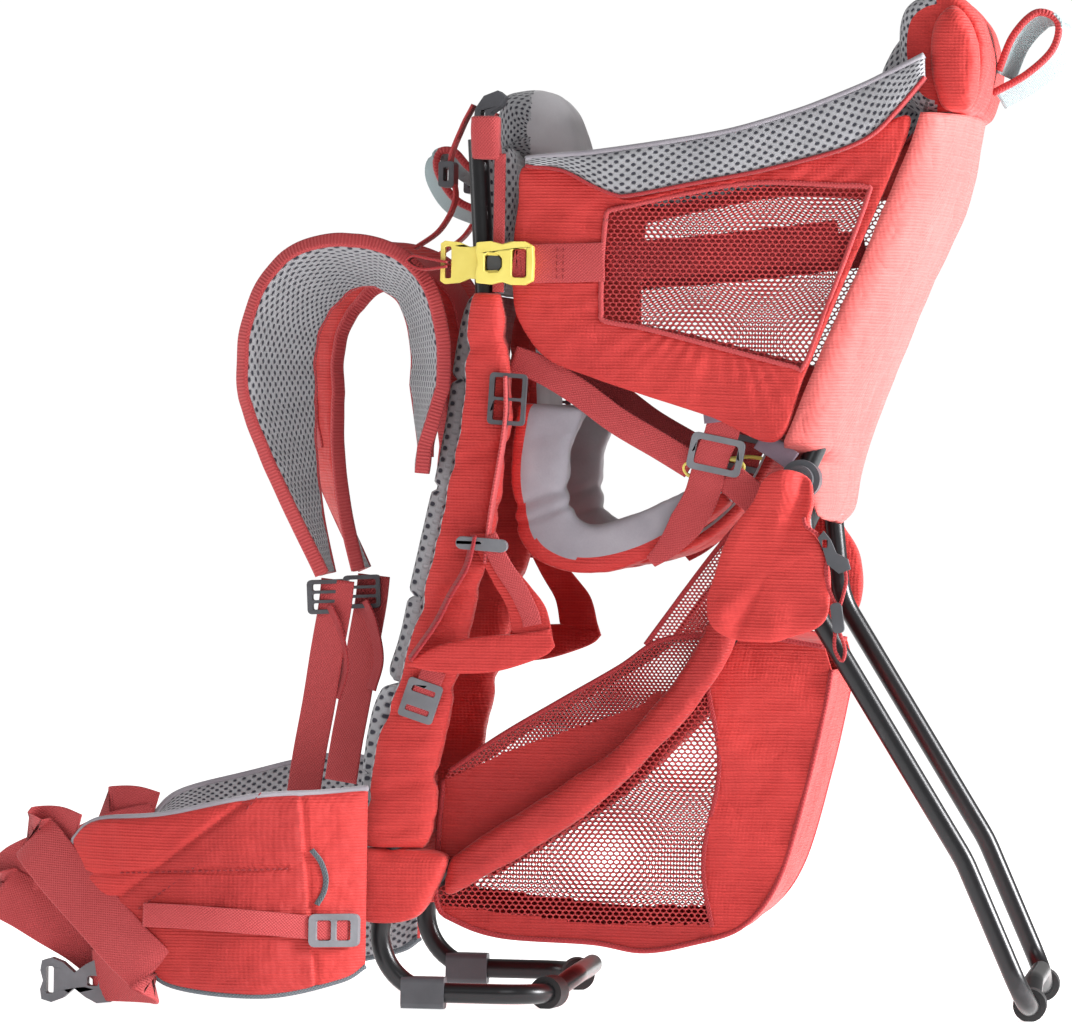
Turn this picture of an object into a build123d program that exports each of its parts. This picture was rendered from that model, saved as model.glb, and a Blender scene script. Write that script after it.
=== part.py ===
"""Baby carrier backpack: a bent-tube frame with a fold-out stand, a child's cockpit, a bag and a harness.

Frame: millimetres, +Z up, +X towards the wearer's left, -Y towards the wearer's front.
The origin is on the ground, at the middle of the carrier's length and width.
"""
import os

from build123d import *

# Tube frame
TUBE_OD = 14.0
TUBE_WALL = 1.2
RAIL_X = 125.0
SEAT_TUBE_X = 117.0
STAND_X = 140.0
TUBE_LIFT = 11.0
RAIL_TOP_Z = 604.0
HINGE_Y = 198.0
HINGE_Z = 372.0
STAND_FOOT_Y = 361.0
BASE_FOOT_X = 88.0

# Clearances
GRIP = 0.0
CLOTH_GAP = 0.6
MOVE_GAP = 1.0

# Hinge of the stand
PIN_D = 8.0
PIN_FIT = 0.05
EYE_D = 19.0
BRACKET_D = 27.0

# Rubber feet and clips on the tubes
FOOT_D = 23.0
FOOT_LENGTH = 20.0
CLIP_LENGTH = 30.0
CLIP_WALL = 2.6

# Knuckles that join the back frame and the seat frame
KNUCKLE_IN = 108.0
KNUCKLE_OUT = 136.0

# Soft parts
COLUMN_IN = 113.0
COLUMN_OUT = 138.0
PAD_HALF = 98.0
PANEL_T = 4.0
WALL_HALF = 109.0
CHIN_HALF = 56.0
SLEEVE_IN = 108.0
SLEEVE_OUT = 131.0
WING_IN = 125.5
WING_OUT = 133.0
RIM_IN = 121.0
RIM_OUT = 146.0
WINDOW_T = 2.0
SHELL_HALF = 132.0
SHELL_LOW_HALF = 103.0
HEAD_HALF = 110.0
SLING_HALF = 76.0
SLING_T = 10.0
RING_IN = 96.0
RING_OUT = 123.0
BAG_HALF = 107.5
BAG_T = 3.0

# Harness
STRAP_X = 92.0
STRAP_W = 66.0
STRAP_T = 13.0
STRAP_ROLL = 22.0
WEB_W = 25.0
WEB_T = 2.5
BELT_W = 38.0
BELT_T = 3.0
FIN_T = 14.0
HANDLE_W = 26.0
HANDLE_T = 5.0

SIDES = (("left", 1), ("right", -1))
TUBE_R = TUBE_OD / 2

os.makedirs("parts", exist_ok=True)


def mirrored(points):
    """The half path given, followed by its reflection in the middle plane."""
    return points + [(-x, y, z) for x, y, z in reversed(points)]


def bent(points, radii):
    """A run of straight lines joined by tangent arcs."""
    with BuildLine() as run:
        FilletPolyline(*points, radius=radii)
    return run.wires()[0]


def rod(run, radius):
    """A round bar along a run, to cut the bore that a tube passes through."""
    with BuildPart() as bar:
        with BuildSketch(Plane(origin=run @ 0, z_dir=run % 0)):
            Circle(radius)
        sweep(path=run)
    return bar.part


def outline(points, corner=0):
    """A closed flat shape in the side view, given as (y, z) points, with rounded corners if asked."""
    with BuildSketch(Plane.XY) as shape:
        with BuildLine():
            Polyline(*points, close=True)
        make_face()
        if corner:
            fillet(shape.vertices(), radius=corner)
    return shape.sketch


def ribbon(points, thickness, radii):
    """The edge-on shape of a folded band in the side view, given as (y, z) points."""
    with BuildSketch(Plane.XY) as shape:
        with BuildLine():
            FilletPolyline(*points, radius=radii)
        trace(line_width=thickness)
    return shape.sketch


def slab(shape, x_near, x_far):
    """A side-view shape made solid between two distances from the middle plane."""
    with BuildPart() as body:
        add(Plane.YZ.offset(x_near) * shape)
        extrude(amount=x_far - x_near, dir=(1, 0, 0))
    return body.part


# Paths of the three bent tubes
back_half = [
    (RAIL_X - 4, -31, RAIL_TOP_Z),
    (RAIL_X, -20, 440),
    (RAIL_X, -64, 210),
    (RAIL_X, -97, TUBE_LIFT),
    (RAIL_X, 20, TUBE_LIFT),
    (BASE_FOOT_X - 2, 27, TUBE_LIFT),
    (BASE_FOOT_X - 30, 40, TUBE_LIFT + 10),
]
back_radii = [120, 100, 40, 30, 25, 30]
back_path = bent(mirrored(back_half), back_radii + back_radii[::-1])

seat_half = [
    (SEAT_TUBE_X + 1, -62, 84),
    (SEAT_TUBE_X, 70, 165),
    (SEAT_TUBE_X, 150, 262),
    (SEAT_TUBE_X, HINGE_Y, HINGE_Z),
    (SEAT_TUBE_X - 15, 227, 440),
    (SEAT_TUBE_X - 21, 296, 645),
    (SEAT_TUBE_X - 55, 303, 668),
]
seat_radii = [100, 100, 80, 80, 35, 40]
seat_path = bent(mirrored(seat_half), seat_radii + seat_radii[::-1])

stand_half = [
    (STAND_X, HINGE_Y + 1.3, HINGE_Z - 11),
    (STAND_X, 208, 285),
    (STAND_X, 316, 112),
    (STAND_X, STAND_FOOT_Y, TUBE_LIFT),
    (STAND_X - 52, STAND_FOOT_Y, TUBE_LIFT),
    (STAND_X - 84, STAND_FOOT_Y, TUBE_LIFT + 13),
]
stand_radii = [60, 100, 28, 30, 30]
stand_path = bent(mirrored(stand_half), stand_radii + stand_radii[::-1])

# Back frame: both rails and the loop that stands on the ground
with BuildPart() as back_frame:
    with BuildSketch(Plane(origin=back_path @ 0, z_dir=back_path % 0)):
        Circle(TUBE_R)
        Circle(TUBE_R - TUBE_WALL, mode=Mode.SUBTRACT)
    sweep(path=back_path)
back_frame.part.label = "back_frame"
export_step(back_frame.part, "parts/back_frame.step")

# Seat frame: it rises from the knuckles, past the stand's hinge, to a hoop in the headrest
with BuildPart() as seat_frame:
    with BuildSketch(Plane(origin=seat_path @ 0, z_dir=seat_path % 0)):
        Circle(TUBE_R)
        Circle(TUBE_R - TUBE_WALL, mode=Mode.SUBTRACT)
    sweep(path=seat_path)
seat_frame.part.label = "seat_frame"
export_step(seat_frame.part, "parts/seat_frame.step")

# Fold-out stand
with BuildPart() as kickstand:
    with BuildSketch(Plane(origin=stand_path @ 0, z_dir=stand_path % 0)):
        Circle(TUBE_R)
        Circle(TUBE_R - TUBE_WALL, mode=Mode.SUBTRACT)
    sweep(path=stand_path)
kickstand.part.label = "kickstand"
export_step(kickstand.part, "parts/kickstand.step")

back_bore = rod(back_path, TUBE_R + GRIP)
seat_bore = rod(seat_path, TUBE_R + GRIP)
seat_cloth_bore = rod(seat_path, TUBE_R + CLOTH_GAP)
back_cloth_bore = rod(back_path, TUBE_R + CLOTH_GAP)
stand_bore = rod(stand_path, TUBE_R + GRIP)

# Eyes of the stand: each turns on a hinge pin and plugs into the top of a leg
leg_top = Vector(*stand_half[0])
leg_down = (Vector(*stand_half[1]) - leg_top).normalized()
spigot_top = leg_top - leg_down * 5
with BuildPart() as stand_eyes:
    for side, sign in SIDES:
        with BuildSketch(Plane.YZ.offset(sign * STAND_X)):
            with Locations((HINGE_Y, HINGE_Z)):
                Circle(EYE_D / 2)
        extrude(amount=TUBE_R, both=True)
        with BuildSketch(Plane(origin=(sign * STAND_X, spigot_top.Y, spigot_top.Z), z_dir=leg_down)):
            Circle(TUBE_R - TUBE_WALL)
        extrude(amount=30)
        with BuildSketch(Plane.YZ.offset(sign * STAND_X)):
            with Locations((HINGE_Y, HINGE_Z)):
                Circle(PIN_D / 2 + PIN_FIT)
        extrude(amount=TUBE_R + 1, both=True, mode=Mode.SUBTRACT)
stand_eyes.part.label = "stand_eyes"
export_step(stand_eyes.part, "parts/stand_eyes.step")

# Brackets clamped on the seat frame, each with the pin that a stand eye turns on
BRACKET_IN = SEAT_TUBE_X - 13
BRACKET_OUT = STAND_X - TUBE_R - MOVE_GAP
PIN_END = STAND_X + TUBE_R + 2.5
with BuildPart() as hinge_brackets:
    for side, sign in SIDES:
        with BuildSketch(Plane.YZ.offset(sign * BRACKET_IN)):
            with Locations((HINGE_Y, HINGE_Z)):
                Circle(BRACKET_D / 2)
        extrude(amount=BRACKET_OUT - BRACKET_IN, dir=(sign, 0, 0))
        with BuildSketch(Plane.YZ.offset(sign * (SEAT_TUBE_X + TUBE_R + 1))):
            with Locations((HINGE_Y, HINGE_Z)):
                Circle(PIN_D / 2)
        extrude(amount=PIN_END - SEAT_TUBE_X - TUBE_R - 1, dir=(sign, 0, 0))
        with BuildSketch(Plane.YZ.offset(sign * PIN_END)):
            with Locations((HINGE_Y, HINGE_Z)):
                Circle(PIN_D / 2 + 2)
        extrude(amount=2, dir=(-sign, 0, 0))
    add(seat_bore, mode=Mode.SUBTRACT)
hinge_brackets.part.label = "hinge_brackets"
export_step(hinge_brackets.part, "parts/hinge_brackets.step")

# Rubber rings under the base loop, cut flat where they meet the ground
foot_lean = back_path % 0
base_at = [(sign * (BASE_FOOT_X + 4), 25.9) for side, sign in SIDES]
with BuildPart() as base_feet:
    for side, sign in SIDES:
        across = Vector(-sign * 39, 7, 0).normalized()
        middle = Vector(sign * (BASE_FOOT_X + 5), 25.4, TUBE_LIFT)
        with BuildSketch(Plane(origin=middle - across * FOOT_LENGTH / 2, z_dir=across)):
            Circle(FOOT_D / 2)
        extrude(amount=FOOT_LENGTH)
    add(back_bore, mode=Mode.SUBTRACT)
    split(bisect_by=Plane.XY, keep=Keep.TOP)
base_feet.part.label = "base_feet"
export_step(base_feet.part, "parts/base_feet.step")

# Clips on the sides of the base loop
with BuildPart() as base_clips:
    for side, sign in SIDES:
        with BuildSketch(Plane.XZ.offset(44)):
            with Locations((sign * RAIL_X, TUBE_LIFT)):
                RectangleRounded(TUBE_OD + 2 * CLIP_WALL, 2 * TUBE_LIFT, 4)
        extrude(amount=CLIP_LENGTH)
    add(back_bore, mode=Mode.SUBTRACT)
base_clips.part.label = "base_clips"
export_step(base_clips.part, "parts/base_clips.step")

# Rubber rings under the stand
with BuildPart() as stand_feet:
    for side, sign in SIDES:
        with BuildSketch(Plane.YZ.offset(sign * (STAND_X - 50))):
            with Locations((STAND_FOOT_Y, TUBE_LIFT)):
                Circle(FOOT_D / 2)
        extrude(amount=FOOT_LENGTH, dir=(sign, 0, 0))
    add(stand_bore, mode=Mode.SUBTRACT)
    split(bisect_by=Plane.XY, keep=Keep.TOP)
stand_feet.part.label = "stand_feet"
export_step(stand_feet.part, "parts/stand_feet.step")

# Knuckles: each holds a rail and the lower end of the seat frame
for side, sign in SIDES:
    with BuildPart() as knuckle:
        add(Plane.YZ.offset(sign * KNUCKLE_IN) * outline([
            (-106, 110), (-107, 60), (-90, 56), (-62, 64), (-46, 90), (-46, 110),
        ], 4))
        extrude(amount=KNUCKLE_OUT - KNUCKLE_IN, dir=(sign, 0, 0))
        add(back_bore, mode=Mode.SUBTRACT)
        add(seat_bore, mode=Mode.SUBTRACT)
    knuckle.part.label = f"knuckle_{side}"
    export_step(knuckle.part, f"parts/knuckle_{side}.step")

# Wearer's side: mesh pad, stiff panel behind it, padded columns round the rails, lumbar pad
pad_front = [(-37, 497), (-44, 472), (-51, 417), (-59, 368), (-73, 304), (-84, 254), (-93, 226)]
pad_rear = [(-28, 497), (-31, 472), (-36, 417), (-45, 368), (-58, 304), (-70, 254), (-77, 226)]
with BuildPart() as back_pad:
    add(Plane.YZ.offset(-PAD_HALF) * outline(pad_front + pad_rear[::-1]))
    extrude(amount=2 * PAD_HALF, dir=(1, 0, 0))
back_pad.part.label = "back_pad"
export_step(back_pad.part, "parts/back_pad.step")

panel_rear = [(y + PANEL_T, z) for y, z in pad_rear]
with BuildPart() as back_panel:
    add(Plane.YZ.offset(-PAD_HALF) * outline(pad_rear + panel_rear[::-1]))
    extrude(amount=2 * PAD_HALF, dir=(1, 0, 0))
back_panel.part.label = "back_panel"
export_step(back_panel.part, "parts/back_panel.step")

with BuildPart() as lumbar_pad:
    add(Plane.YZ.offset(-COLUMN_IN + 1) * outline([
        (-92, 223), (-101, 198), (-106, 157), (-107, 113), (-104, 82), (-92, 76),
        (-82, 82), (-80, 150), (-77, 223),
    ]))
    extrude(amount=2 * COLUMN_IN - 2, dir=(1, 0, 0))
    add(slab(outline([(-120, 50), (-40, 50), (-40, 112), (-120, 112)]), KNUCKLE_IN - 0.5, 140),
        mode=Mode.SUBTRACT)
    add(slab(outline([(-120, 50), (-40, 50), (-40, 112), (-120, 112)]), -140, 0.5 - KNUCKLE_IN),
        mode=Mode.SUBTRACT)
lumbar_pad.part.label = "lumbar_pad"
export_step(lumbar_pad.part, "parts/lumbar_pad.step")

column_shape = [
    (-32, 497), (-35, 472), (-37, 417), (-46, 368), (-59, 304), (-72, 254), (-80, 226),
    (-91, 198), (-99, 157), (-104, 112), (-57, 112), (-51, 122), (-50, 171), (-42, 213),
    (-26, 283), (-13, 339), (-4, 422), (-11, 497),
]
for side, sign in SIDES:
    with BuildPart() as column:
        add(Plane.YZ.offset(sign * COLUMN_IN) * outline(column_shape))
        extrude(amount=COLUMN_OUT - COLUMN_IN, dir=(sign, 0, 0))
        add(back_cloth_bore, mode=Mode.SUBTRACT)
    column.part.label = f"column_{side}"
    export_step(column.part, f"parts/column_{side}.step")

# Child's side of the top: padded wall and chin pad
with BuildPart() as front_wall:
    add(Plane.YZ.offset(-WALL_HALF) * outline([
        (-27, 498), (-35, 530), (-39, 575), (-38, 590), (-30, 599), (-8, 599), (-5, 563), (-8, 530),
        (-13, 498),
    ], 4))
    extrude(amount=2 * WALL_HALF, dir=(1, 0, 0))
front_wall.part.label = "front_wall"
export_step(front_wall.part, "parts/front_wall.step")

with BuildPart() as chin_pad:
    add(Plane.YZ.offset(-CHIN_HALF) * outline([
        (-25, 600), (-26, 628), (-19, 640), (5, 642), (27, 624), (36, 600), (33, 586), (20, 584),
        (3, 590), (-2, 600),
    ], 2.5))
    extrude(amount=2 * CHIN_HALF, dir=(1, 0, 0))
chin_pad.part.label = "chin_pad"
export_step(chin_pad.part, "parts/chin_pad.step")

# Rear shell of the cockpit, round the seat frame
with BuildPart() as rear_shell:
    add(Plane.YZ.offset(-SHELL_HALF) * outline([
        (184, 394), (264, 588), (277, 626), (313, 626), (307, 588),
        (297, 553), (264, 475), (240, 412), (234, 394),
    ]))
    extrude(amount=2 * SHELL_HALF, dir=(1, 0, 0))
    add(Plane.YZ.offset(-SHELL_LOW_HALF) * outline([
        (184, 394.5), (179, 372), (176, 350), (204, 345), (222, 342), (234, 394.5),
    ]))
    extrude(amount=2 * SHELL_LOW_HALF, dir=(1, 0, 0))
    add(seat_cloth_bore, mode=Mode.SUBTRACT)
rear_shell.part.label = "rear_shell"
export_step(rear_shell.part, "parts/rear_shell.step")

# Headrest round the hoop, with a padded ear on each side
with BuildPart() as headrest:
    add(Plane.YZ.offset(-HEAD_HALF) * outline([
        (277, 627), (264, 645), (258, 672), (261, 697), (276, 711), (300, 709), (317, 690),
        (323, 660), (314, 627),
    ], 5))
    extrude(amount=2 * HEAD_HALF, dir=(1, 0, 0))
    add(seat_cloth_bore, mode=Mode.SUBTRACT)
headrest.part.label = "headrest"
export_step(headrest.part, "parts/headrest.step")

ear_shapes = {
    "left": [(292, 627), (284, 645), (281, 664), (283, 690), (297, 702), (312, 690), (318, 660), (313, 627)],
    "right": [(268, 627), (265, 659), (250, 654), (238, 647.5), (229, 662), (232, 684), (262, 699),
              (297, 702), (314, 688), (318, 660), (313, 627)],
}
for side, sign in SIDES:
    with BuildPart() as ear:
        add(Plane.YZ.offset(sign * (HEAD_HALF + 0.3)) * outline(ear_shapes[side]))
        extrude(amount=SHELL_HALF - HEAD_HALF - 0.3, dir=(sign, 0, 0))
    ear.part.label = f"headrest_ear_{side}"
    export_step(ear.part, f"parts/headrest_ear_{side}.step")

# Grab handles: folded webbing loops
with BuildPart() as rear_handle:
    add(Plane.YZ.offset(-HANDLE_W / 2) * ribbon(
        [(328, 657), (338, 684), (356, 702), (371, 694), (367, 672), (348, 654), (322.5, 640)],
        HANDLE_T, [18, 10, 7, 12, 18]))
    extrude(amount=HANDLE_W, dir=(1, 0, 0))
rear_handle.part.label = "rear_handle"
export_step(rear_handle.part, "parts/rear_handle.step")

with BuildPart() as front_handle:
    add(Plane.YZ.offset(-HANDLE_W / 2) * ribbon(
        [(-41.5, 578), (-56, 586), (-66, 599), (-79, 597), (-78, 580), (-64, 560), (-40.5, 552)],
        HANDLE_T, [10, 6, 5, 8, 12]))
    extrude(amount=HANDLE_W, dir=(1, 0, 0))
front_handle.part.label = "front_handle"
export_step(front_handle.part, "parts/front_handle.step")

# Shoulder straps: padded bands from the yoke, over the arch and down, rolled outwards on the arch
strap_run = [
    (-70, 372), (-66.5, 420), (-66, 462), (-77, 499), (-101, 517), (-130, 518), (-155, 503),
    (-170, 476), (-174, 440), (-167, 395), (-153, 345), (-137, 300),
]
STRAP_STEPS = 22
for side, sign in SIDES:
    with BuildLine() as strap_line:
        Spline(*[(sign * STRAP_X, y, z) for y, z in strap_run])
    strap_edge = strap_line.edge()
    with BuildPart() as shoulder_strap:
        for step in range(STRAP_STEPS + 1):
            share = step / STRAP_STEPS
            along = strap_edge % share
            arch = max(0.0, min(1.0, (share - 0.28) / 0.22, (1.0 - share) / 0.3))
            foot = max(0.0, (share - 0.7) / 0.3)
            across = Vector(sign, 0, 0).rotate(Axis((0, 0, 0), tuple(along)), sign * STRAP_ROLL * arch)
            wide = STRAP_W - (STRAP_W - WEB_W - 12) * foot
            thick = STRAP_T - 3.5 * foot - 2 * (1 - min(1.0, share / 0.3))
            with BuildSketch(Plane(origin=strap_edge @ share, x_dir=across, z_dir=along)):
                RectangleRounded(wide, thick, thick * 0.42)
        loft()
    shoulder_strap.part.label = f"shoulder_strap_{side}"
    export_step(shoulder_strap.part, f"parts/shoulder_strap_{side}.step")

# Thin webbing from the top of each shoulder strap to a lock on the front wall
lift_x = 62
with BuildPart() as load_lifters:
    for side, sign in SIDES:
        add(Plane.YZ.offset(sign * lift_x) * ribbon(
            [(-80, 529), (-60, 545), (-50, 565), (-57, 590), (-48, 616), (-38, 628)], WEB_T, [20, 15, 20, 30]))
        extrude(amount=20, dir=(sign, 0, 0))
load_lifters.part.label = "load_lifters"
export_step(load_lifters.part, "parts/load_lifters.step")

with BuildPart() as lifter_locks:
    for side, sign in SIDES:
        add(Plane.YZ.offset(sign * (lift_x - 3)) * outline([
            (-37, 640), (-24, 636), (-18, 600.5), (-30, 600.5), (-36, 622), (-41, 634),
        ], 2))
        extrude(amount=26, dir=(sign, 0, 0))
lifter_locks.part.label = "lifter_locks"
export_step(lifter_locks.part, "parts/lifter_locks.step")

# Two layers of webbing from each strap down to the hip, and the lock between them
WEB_X = 92
with BuildPart() as strap_webbings:
    for side, sign in SIDES:
        add(Plane.YZ.offset(sign * WEB_X) * outline([
            (-148, 270), (-123, 270), (-128, 205), (-138, 142), (-163, 142), (-153, 205),
        ]))
        extrude(amount=WEB_T + 2, dir=(sign, 0, 0))
strap_webbings.part.label = "strap_webbings"
export_step(strap_webbings.part, "parts/strap_webbings.step")

with BuildPart() as strap_locks:
    for side, sign in SIDES:
        add(Plane.YZ.offset(sign * (WEB_X - 3)) * outline([
            (-152, 297), (-150, 271), (-121, 271), (-120, 297),
        ], 3))
        extrude(amount=9, dir=(sign, 0, 0))
strap_locks.part.label = "strap_locks"
export_step(strap_locks.part, "parts/strap_locks.step")

# Cockpit side panels with their mesh windows and padded rims
wing_shape = [
    (2, 585), (2, 478), (20, 452), (86, 428), (181.5, 397), (258, 583), (165, 583), (78, 565), (62, 566), (30, 582),
]
window_shape = [(62, 556), (160, 576), (243, 575), (197, 448), (60, 480)]
rim_top = [
    (4, 590), (48, 595), (89, 601), (130, 608), (156, 614), (191, 625), (212, 633), (238, 644),
    (250, 651), (262, 657),
]
rim_low = [
    (4, 585.5), (30, 582.5), (62, 566.5), (78, 565.5), (120, 574.5), (165, 583.5), (206, 594), (230, 602),
    (246, 612), (262, 632),
]
with BuildPart() as wing_panel_left:
    add(Plane.YZ.offset(WING_IN) * outline(wing_shape))
    extrude(amount=WING_OUT - WING_IN, dir=(1, 0, 0))
    add(slab(outline(window_shape, 8), WING_IN - 1, WING_OUT + 1), mode=Mode.SUBTRACT)
wing_panel_left.part.label = "wing_panel_left"
export_step(wing_panel_left.part, "parts/wing_panel_left.step")

with BuildPart() as wing_mesh_left:
    add(Plane.YZ.offset((WING_IN + WING_OUT - WINDOW_T) / 2) * outline(window_shape, 8))
    extrude(amount=WINDOW_T, dir=(1, 0, 0))
wing_mesh_left.part.label = "wing_mesh_left"
export_step(wing_mesh_left.part, "parts/wing_mesh_left.step")

with BuildPart() as wing_rim_left:
    add(Plane.YZ.offset(RIM_IN) * outline(rim_top + rim_low[::-1]))
    extrude(amount=RIM_OUT - RIM_IN, dir=(1, 0, 0))
wing_rim_left.part.label = "wing_rim_left"
export_step(wing_rim_left.part, "parts/wing_rim_left.step")

with BuildPart() as wing_panel_right:
    add(Plane.YZ.offset(-WING_IN) * outline(wing_shape))
    extrude(amount=WING_OUT - WING_IN, dir=(-1, 0, 0))
    add(slab(outline(window_shape, 8), -WING_OUT - 1, 1 - WING_IN), mode=Mode.SUBTRACT)
wing_panel_right.part.label = "wing_panel_right"
export_step(wing_panel_right.part, "parts/wing_panel_right.step")

with BuildPart() as wing_mesh_right:
    add(Plane.YZ.offset(-(WING_IN + WING_OUT - WINDOW_T) / 2) * outline(window_shape, 8))
    extrude(amount=WINDOW_T, dir=(-1, 0, 0))
wing_mesh_right.part.label = "wing_mesh_right"
export_step(wing_mesh_right.part, "parts/wing_mesh_right.step")

with BuildPart() as wing_rim_right:
    add(Plane.YZ.offset(-RIM_IN) * outline(rim_top + rim_low[::-1]))
    extrude(amount=RIM_OUT - RIM_IN, dir=(-1, 0, 0))
wing_rim_right.part.label = "wing_rim_right"
export_step(wing_rim_right.part, "parts/wing_rim_right.step")

# Side-release buckle of the left side panel: a socket open on its inner face, and a plug with two prongs
BUCKLE_IN = WING_OUT + 0.5
BUCKLE_DEEP = 13.0
BUCKLE_LOW = 503.0
BUCKLE_TALL = 30.0
BUCKLE_SHELL = 2.4
PRONG_GAP = 0.6
with BuildPart() as buckle_socket:
    add(Plane.YZ.offset(BUCKLE_IN) * outline([
        (-28, BUCKLE_LOW), (-28, BUCKLE_LOW + BUCKLE_TALL), (-2, BUCKLE_LOW + BUCKLE_TALL),
        (12, BUCKLE_LOW + BUCKLE_TALL - 1), (12, BUCKLE_LOW + 1), (-2, BUCKLE_LOW),
    ]))
    extrude(amount=BUCKLE_DEEP, dir=(1, 0, 0))
    add(slab(outline([
        (-30, BUCKLE_LOW + BUCKLE_SHELL), (-30, BUCKLE_LOW + BUCKLE_TALL - BUCKLE_SHELL),
        (-8, BUCKLE_LOW + BUCKLE_TALL - BUCKLE_SHELL), (-8, BUCKLE_LOW + BUCKLE_SHELL),
    ]), BUCKLE_IN - 1, BUCKLE_IN + BUCKLE_DEEP - BUCKLE_SHELL), mode=Mode.SUBTRACT)
    add(slab(outline([
        (-3, BUCKLE_LOW + 5), (-3, BUCKLE_LOW + BUCKLE_TALL - 5), (8, BUCKLE_LOW + BUCKLE_TALL - 5),
        (8, BUCKLE_LOW + 5),
    ]), BUCKLE_IN - 1, BUCKLE_IN + BUCKLE_DEEP + 1), mode=Mode.SUBTRACT)
buckle_socket.part.label = "buckle_socket"
export_step(buckle_socket.part, "parts/buckle_socket.step")

prong_low = BUCKLE_LOW + BUCKLE_SHELL + PRONG_GAP
prong_high = BUCKLE_LOW + BUCKLE_TALL - BUCKLE_SHELL - PRONG_GAP
with BuildPart() as buckle_plug:
    add(Plane.YZ.offset(BUCKLE_IN + 1.5) * outline([
        (-53, BUCKLE_LOW + 1), (-53, BUCKLE_LOW + BUCKLE_TALL - 1), (-34, BUCKLE_LOW + BUCKLE_TALL - 1),
        (-29, prong_high), (-12, prong_high), (-12, prong_high - 7), (-28, prong_high - 7),
        (-28, prong_low + 7), (-12, prong_low + 7), (-12, prong_low), (-29, prong_low),
        (-34, BUCKLE_LOW + 1),
    ]))
    extrude(amount=BUCKLE_DEEP - BUCKLE_SHELL - 2.5, dir=(1, 0, 0))
    add(slab(outline([
        (-50, BUCKLE_LOW + 4), (-50, BUCKLE_LOW + BUCKLE_TALL - 4), (-46, BUCKLE_LOW + BUCKLE_TALL - 4),
        (-46, BUCKLE_LOW + 4),
    ]), BUCKLE_IN - 1, BUCKLE_IN + BUCKLE_DEEP + 1), mode=Mode.SUBTRACT)
buckle_plug.part.label = "buckle_plug"
export_step(buckle_plug.part, "parts/buckle_plug.step")

# Hip fins: padded plates that curve round the wearer's hips, bent in plan and shaped in side view
fin_plan = [(146, -98), (163, -132), (181, -175), (186, -222), (181, -262), (166, -300)]
fin_side = [
    (-98, 153), (-172, 152), (-234, 138), (-289, 129), (-299, 109), (-272, 66), (-246, 34),
    (-225, 16), (-163, 10), (-115, 20), (-98, 30),
]


def plan_band(points, thickness, sign):
    """A band bent in plan, given as (x, y) points, drawn on the ground."""
    with BuildSketch(Plane.XY) as shape:
        with BuildLine():
            FilletPolyline(*[(sign * x, y) for x, y in points], radius=60)
        trace(line_width=thickness)
    return shape.sketch


for side, sign in SIDES:
    with BuildPart() as hip_fin:
        add(plan_band(fin_plan, FIN_T, sign))
        extrude(amount=160)
        add(slab(outline(fin_side, 6), 220 * min(sign, 0), 220 * max(sign, 0)), mode=Mode.INTERSECT)
    hip_fin.part.label = f"hip_fin_{side}"
    export_step(hip_fin.part, f"parts/hip_fin_{side}.step")

# Compression strap on the outside of each fin, with its lock
strap_plan = [(x + FIN_T / 2 + 3.4, y) for x, y in fin_plan[:5]]
for side, sign in SIDES:
    with BuildPart() as fin_strap:
        add(plan_band(strap_plan, 2.4, sign))
        extrude(amount=160)
        add(slab(outline([(-245, 56), (-245, 72), (-134, 66), (-134, 48)]), -230, 230), mode=Mode.INTERSECT)
    fin_strap.part.label = f"fin_strap_{side}"
    export_step(fin_strap.part, f"parts/fin_strap_{side}.step")

# Belt webbing that hangs in folds from the front of each fin, with half a buckle on it
BELT_IN = 131
for side, sign in SIDES:
    with BuildPart() as belt_webbing:
        add(Plane.YZ.offset(sign * BELT_IN) * ribbon(
            [(-302, 112), (-316, 145), (-338, 118), (-358, 88), (-369, 62), (-350, 40), (-322, 33), (-292, 40)],
            BELT_T, [9, 40, 40, 14, 18, 30]))
        extrude(amount=BELT_W, dir=(sign, 0, 0))
    belt_webbing.part.label = f"belt_webbing_{side}"
    export_step(belt_webbing.part, f"parts/belt_webbing_{side}.step")

for side, sign in SIDES:
    with BuildPart() as hip_buckle:
        add(Plane.YZ.offset(sign * (BELT_IN + 12)) * outline([
            (-323, 0), (-323, 30), (-309, 31), (-300, 24), (-286, 31), (-272, 29), (-272, 1),
            (-286, 0), (-300, 7), (-309, 0),
        ], 1.2))
        extrude(amount=12, dir=(sign, 0, 0))
        add(slab(outline([(-319, 5), (-319, 26), (-314, 26), (-314, 5)]), -200, 200), mode=Mode.SUBTRACT)
    hip_buckle.part.label = f"hip_buckle_{side}"
    export_step(hip_buckle.part, f"parts/hip_buckle_{side}.step")

# Fabric sleeves round the slanted runs of the seat frame
for side, sign in SIDES:
    with BuildPart() as stay_sleeve:
        add(Plane.YZ.offset(sign * SLEEVE_IN) * outline([
            (-45, 104), (14, 145), (76, 190), (131, 253), (172, 338), (193, 344), (179, 312), (159, 258),
            (118, 201), (63, 145), (14, 109), (-45, 73),
        ]))
        extrude(amount=SLEEVE_OUT - SLEEVE_IN, dir=(sign, 0, 0))
        add(seat_cloth_bore, mode=Mode.SUBTRACT)
    stay_sleeve.part.label = f"stay_sleeve_{side}"
    export_step(stay_sleeve.part, f"parts/stay_sleeve_{side}.step")

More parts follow.
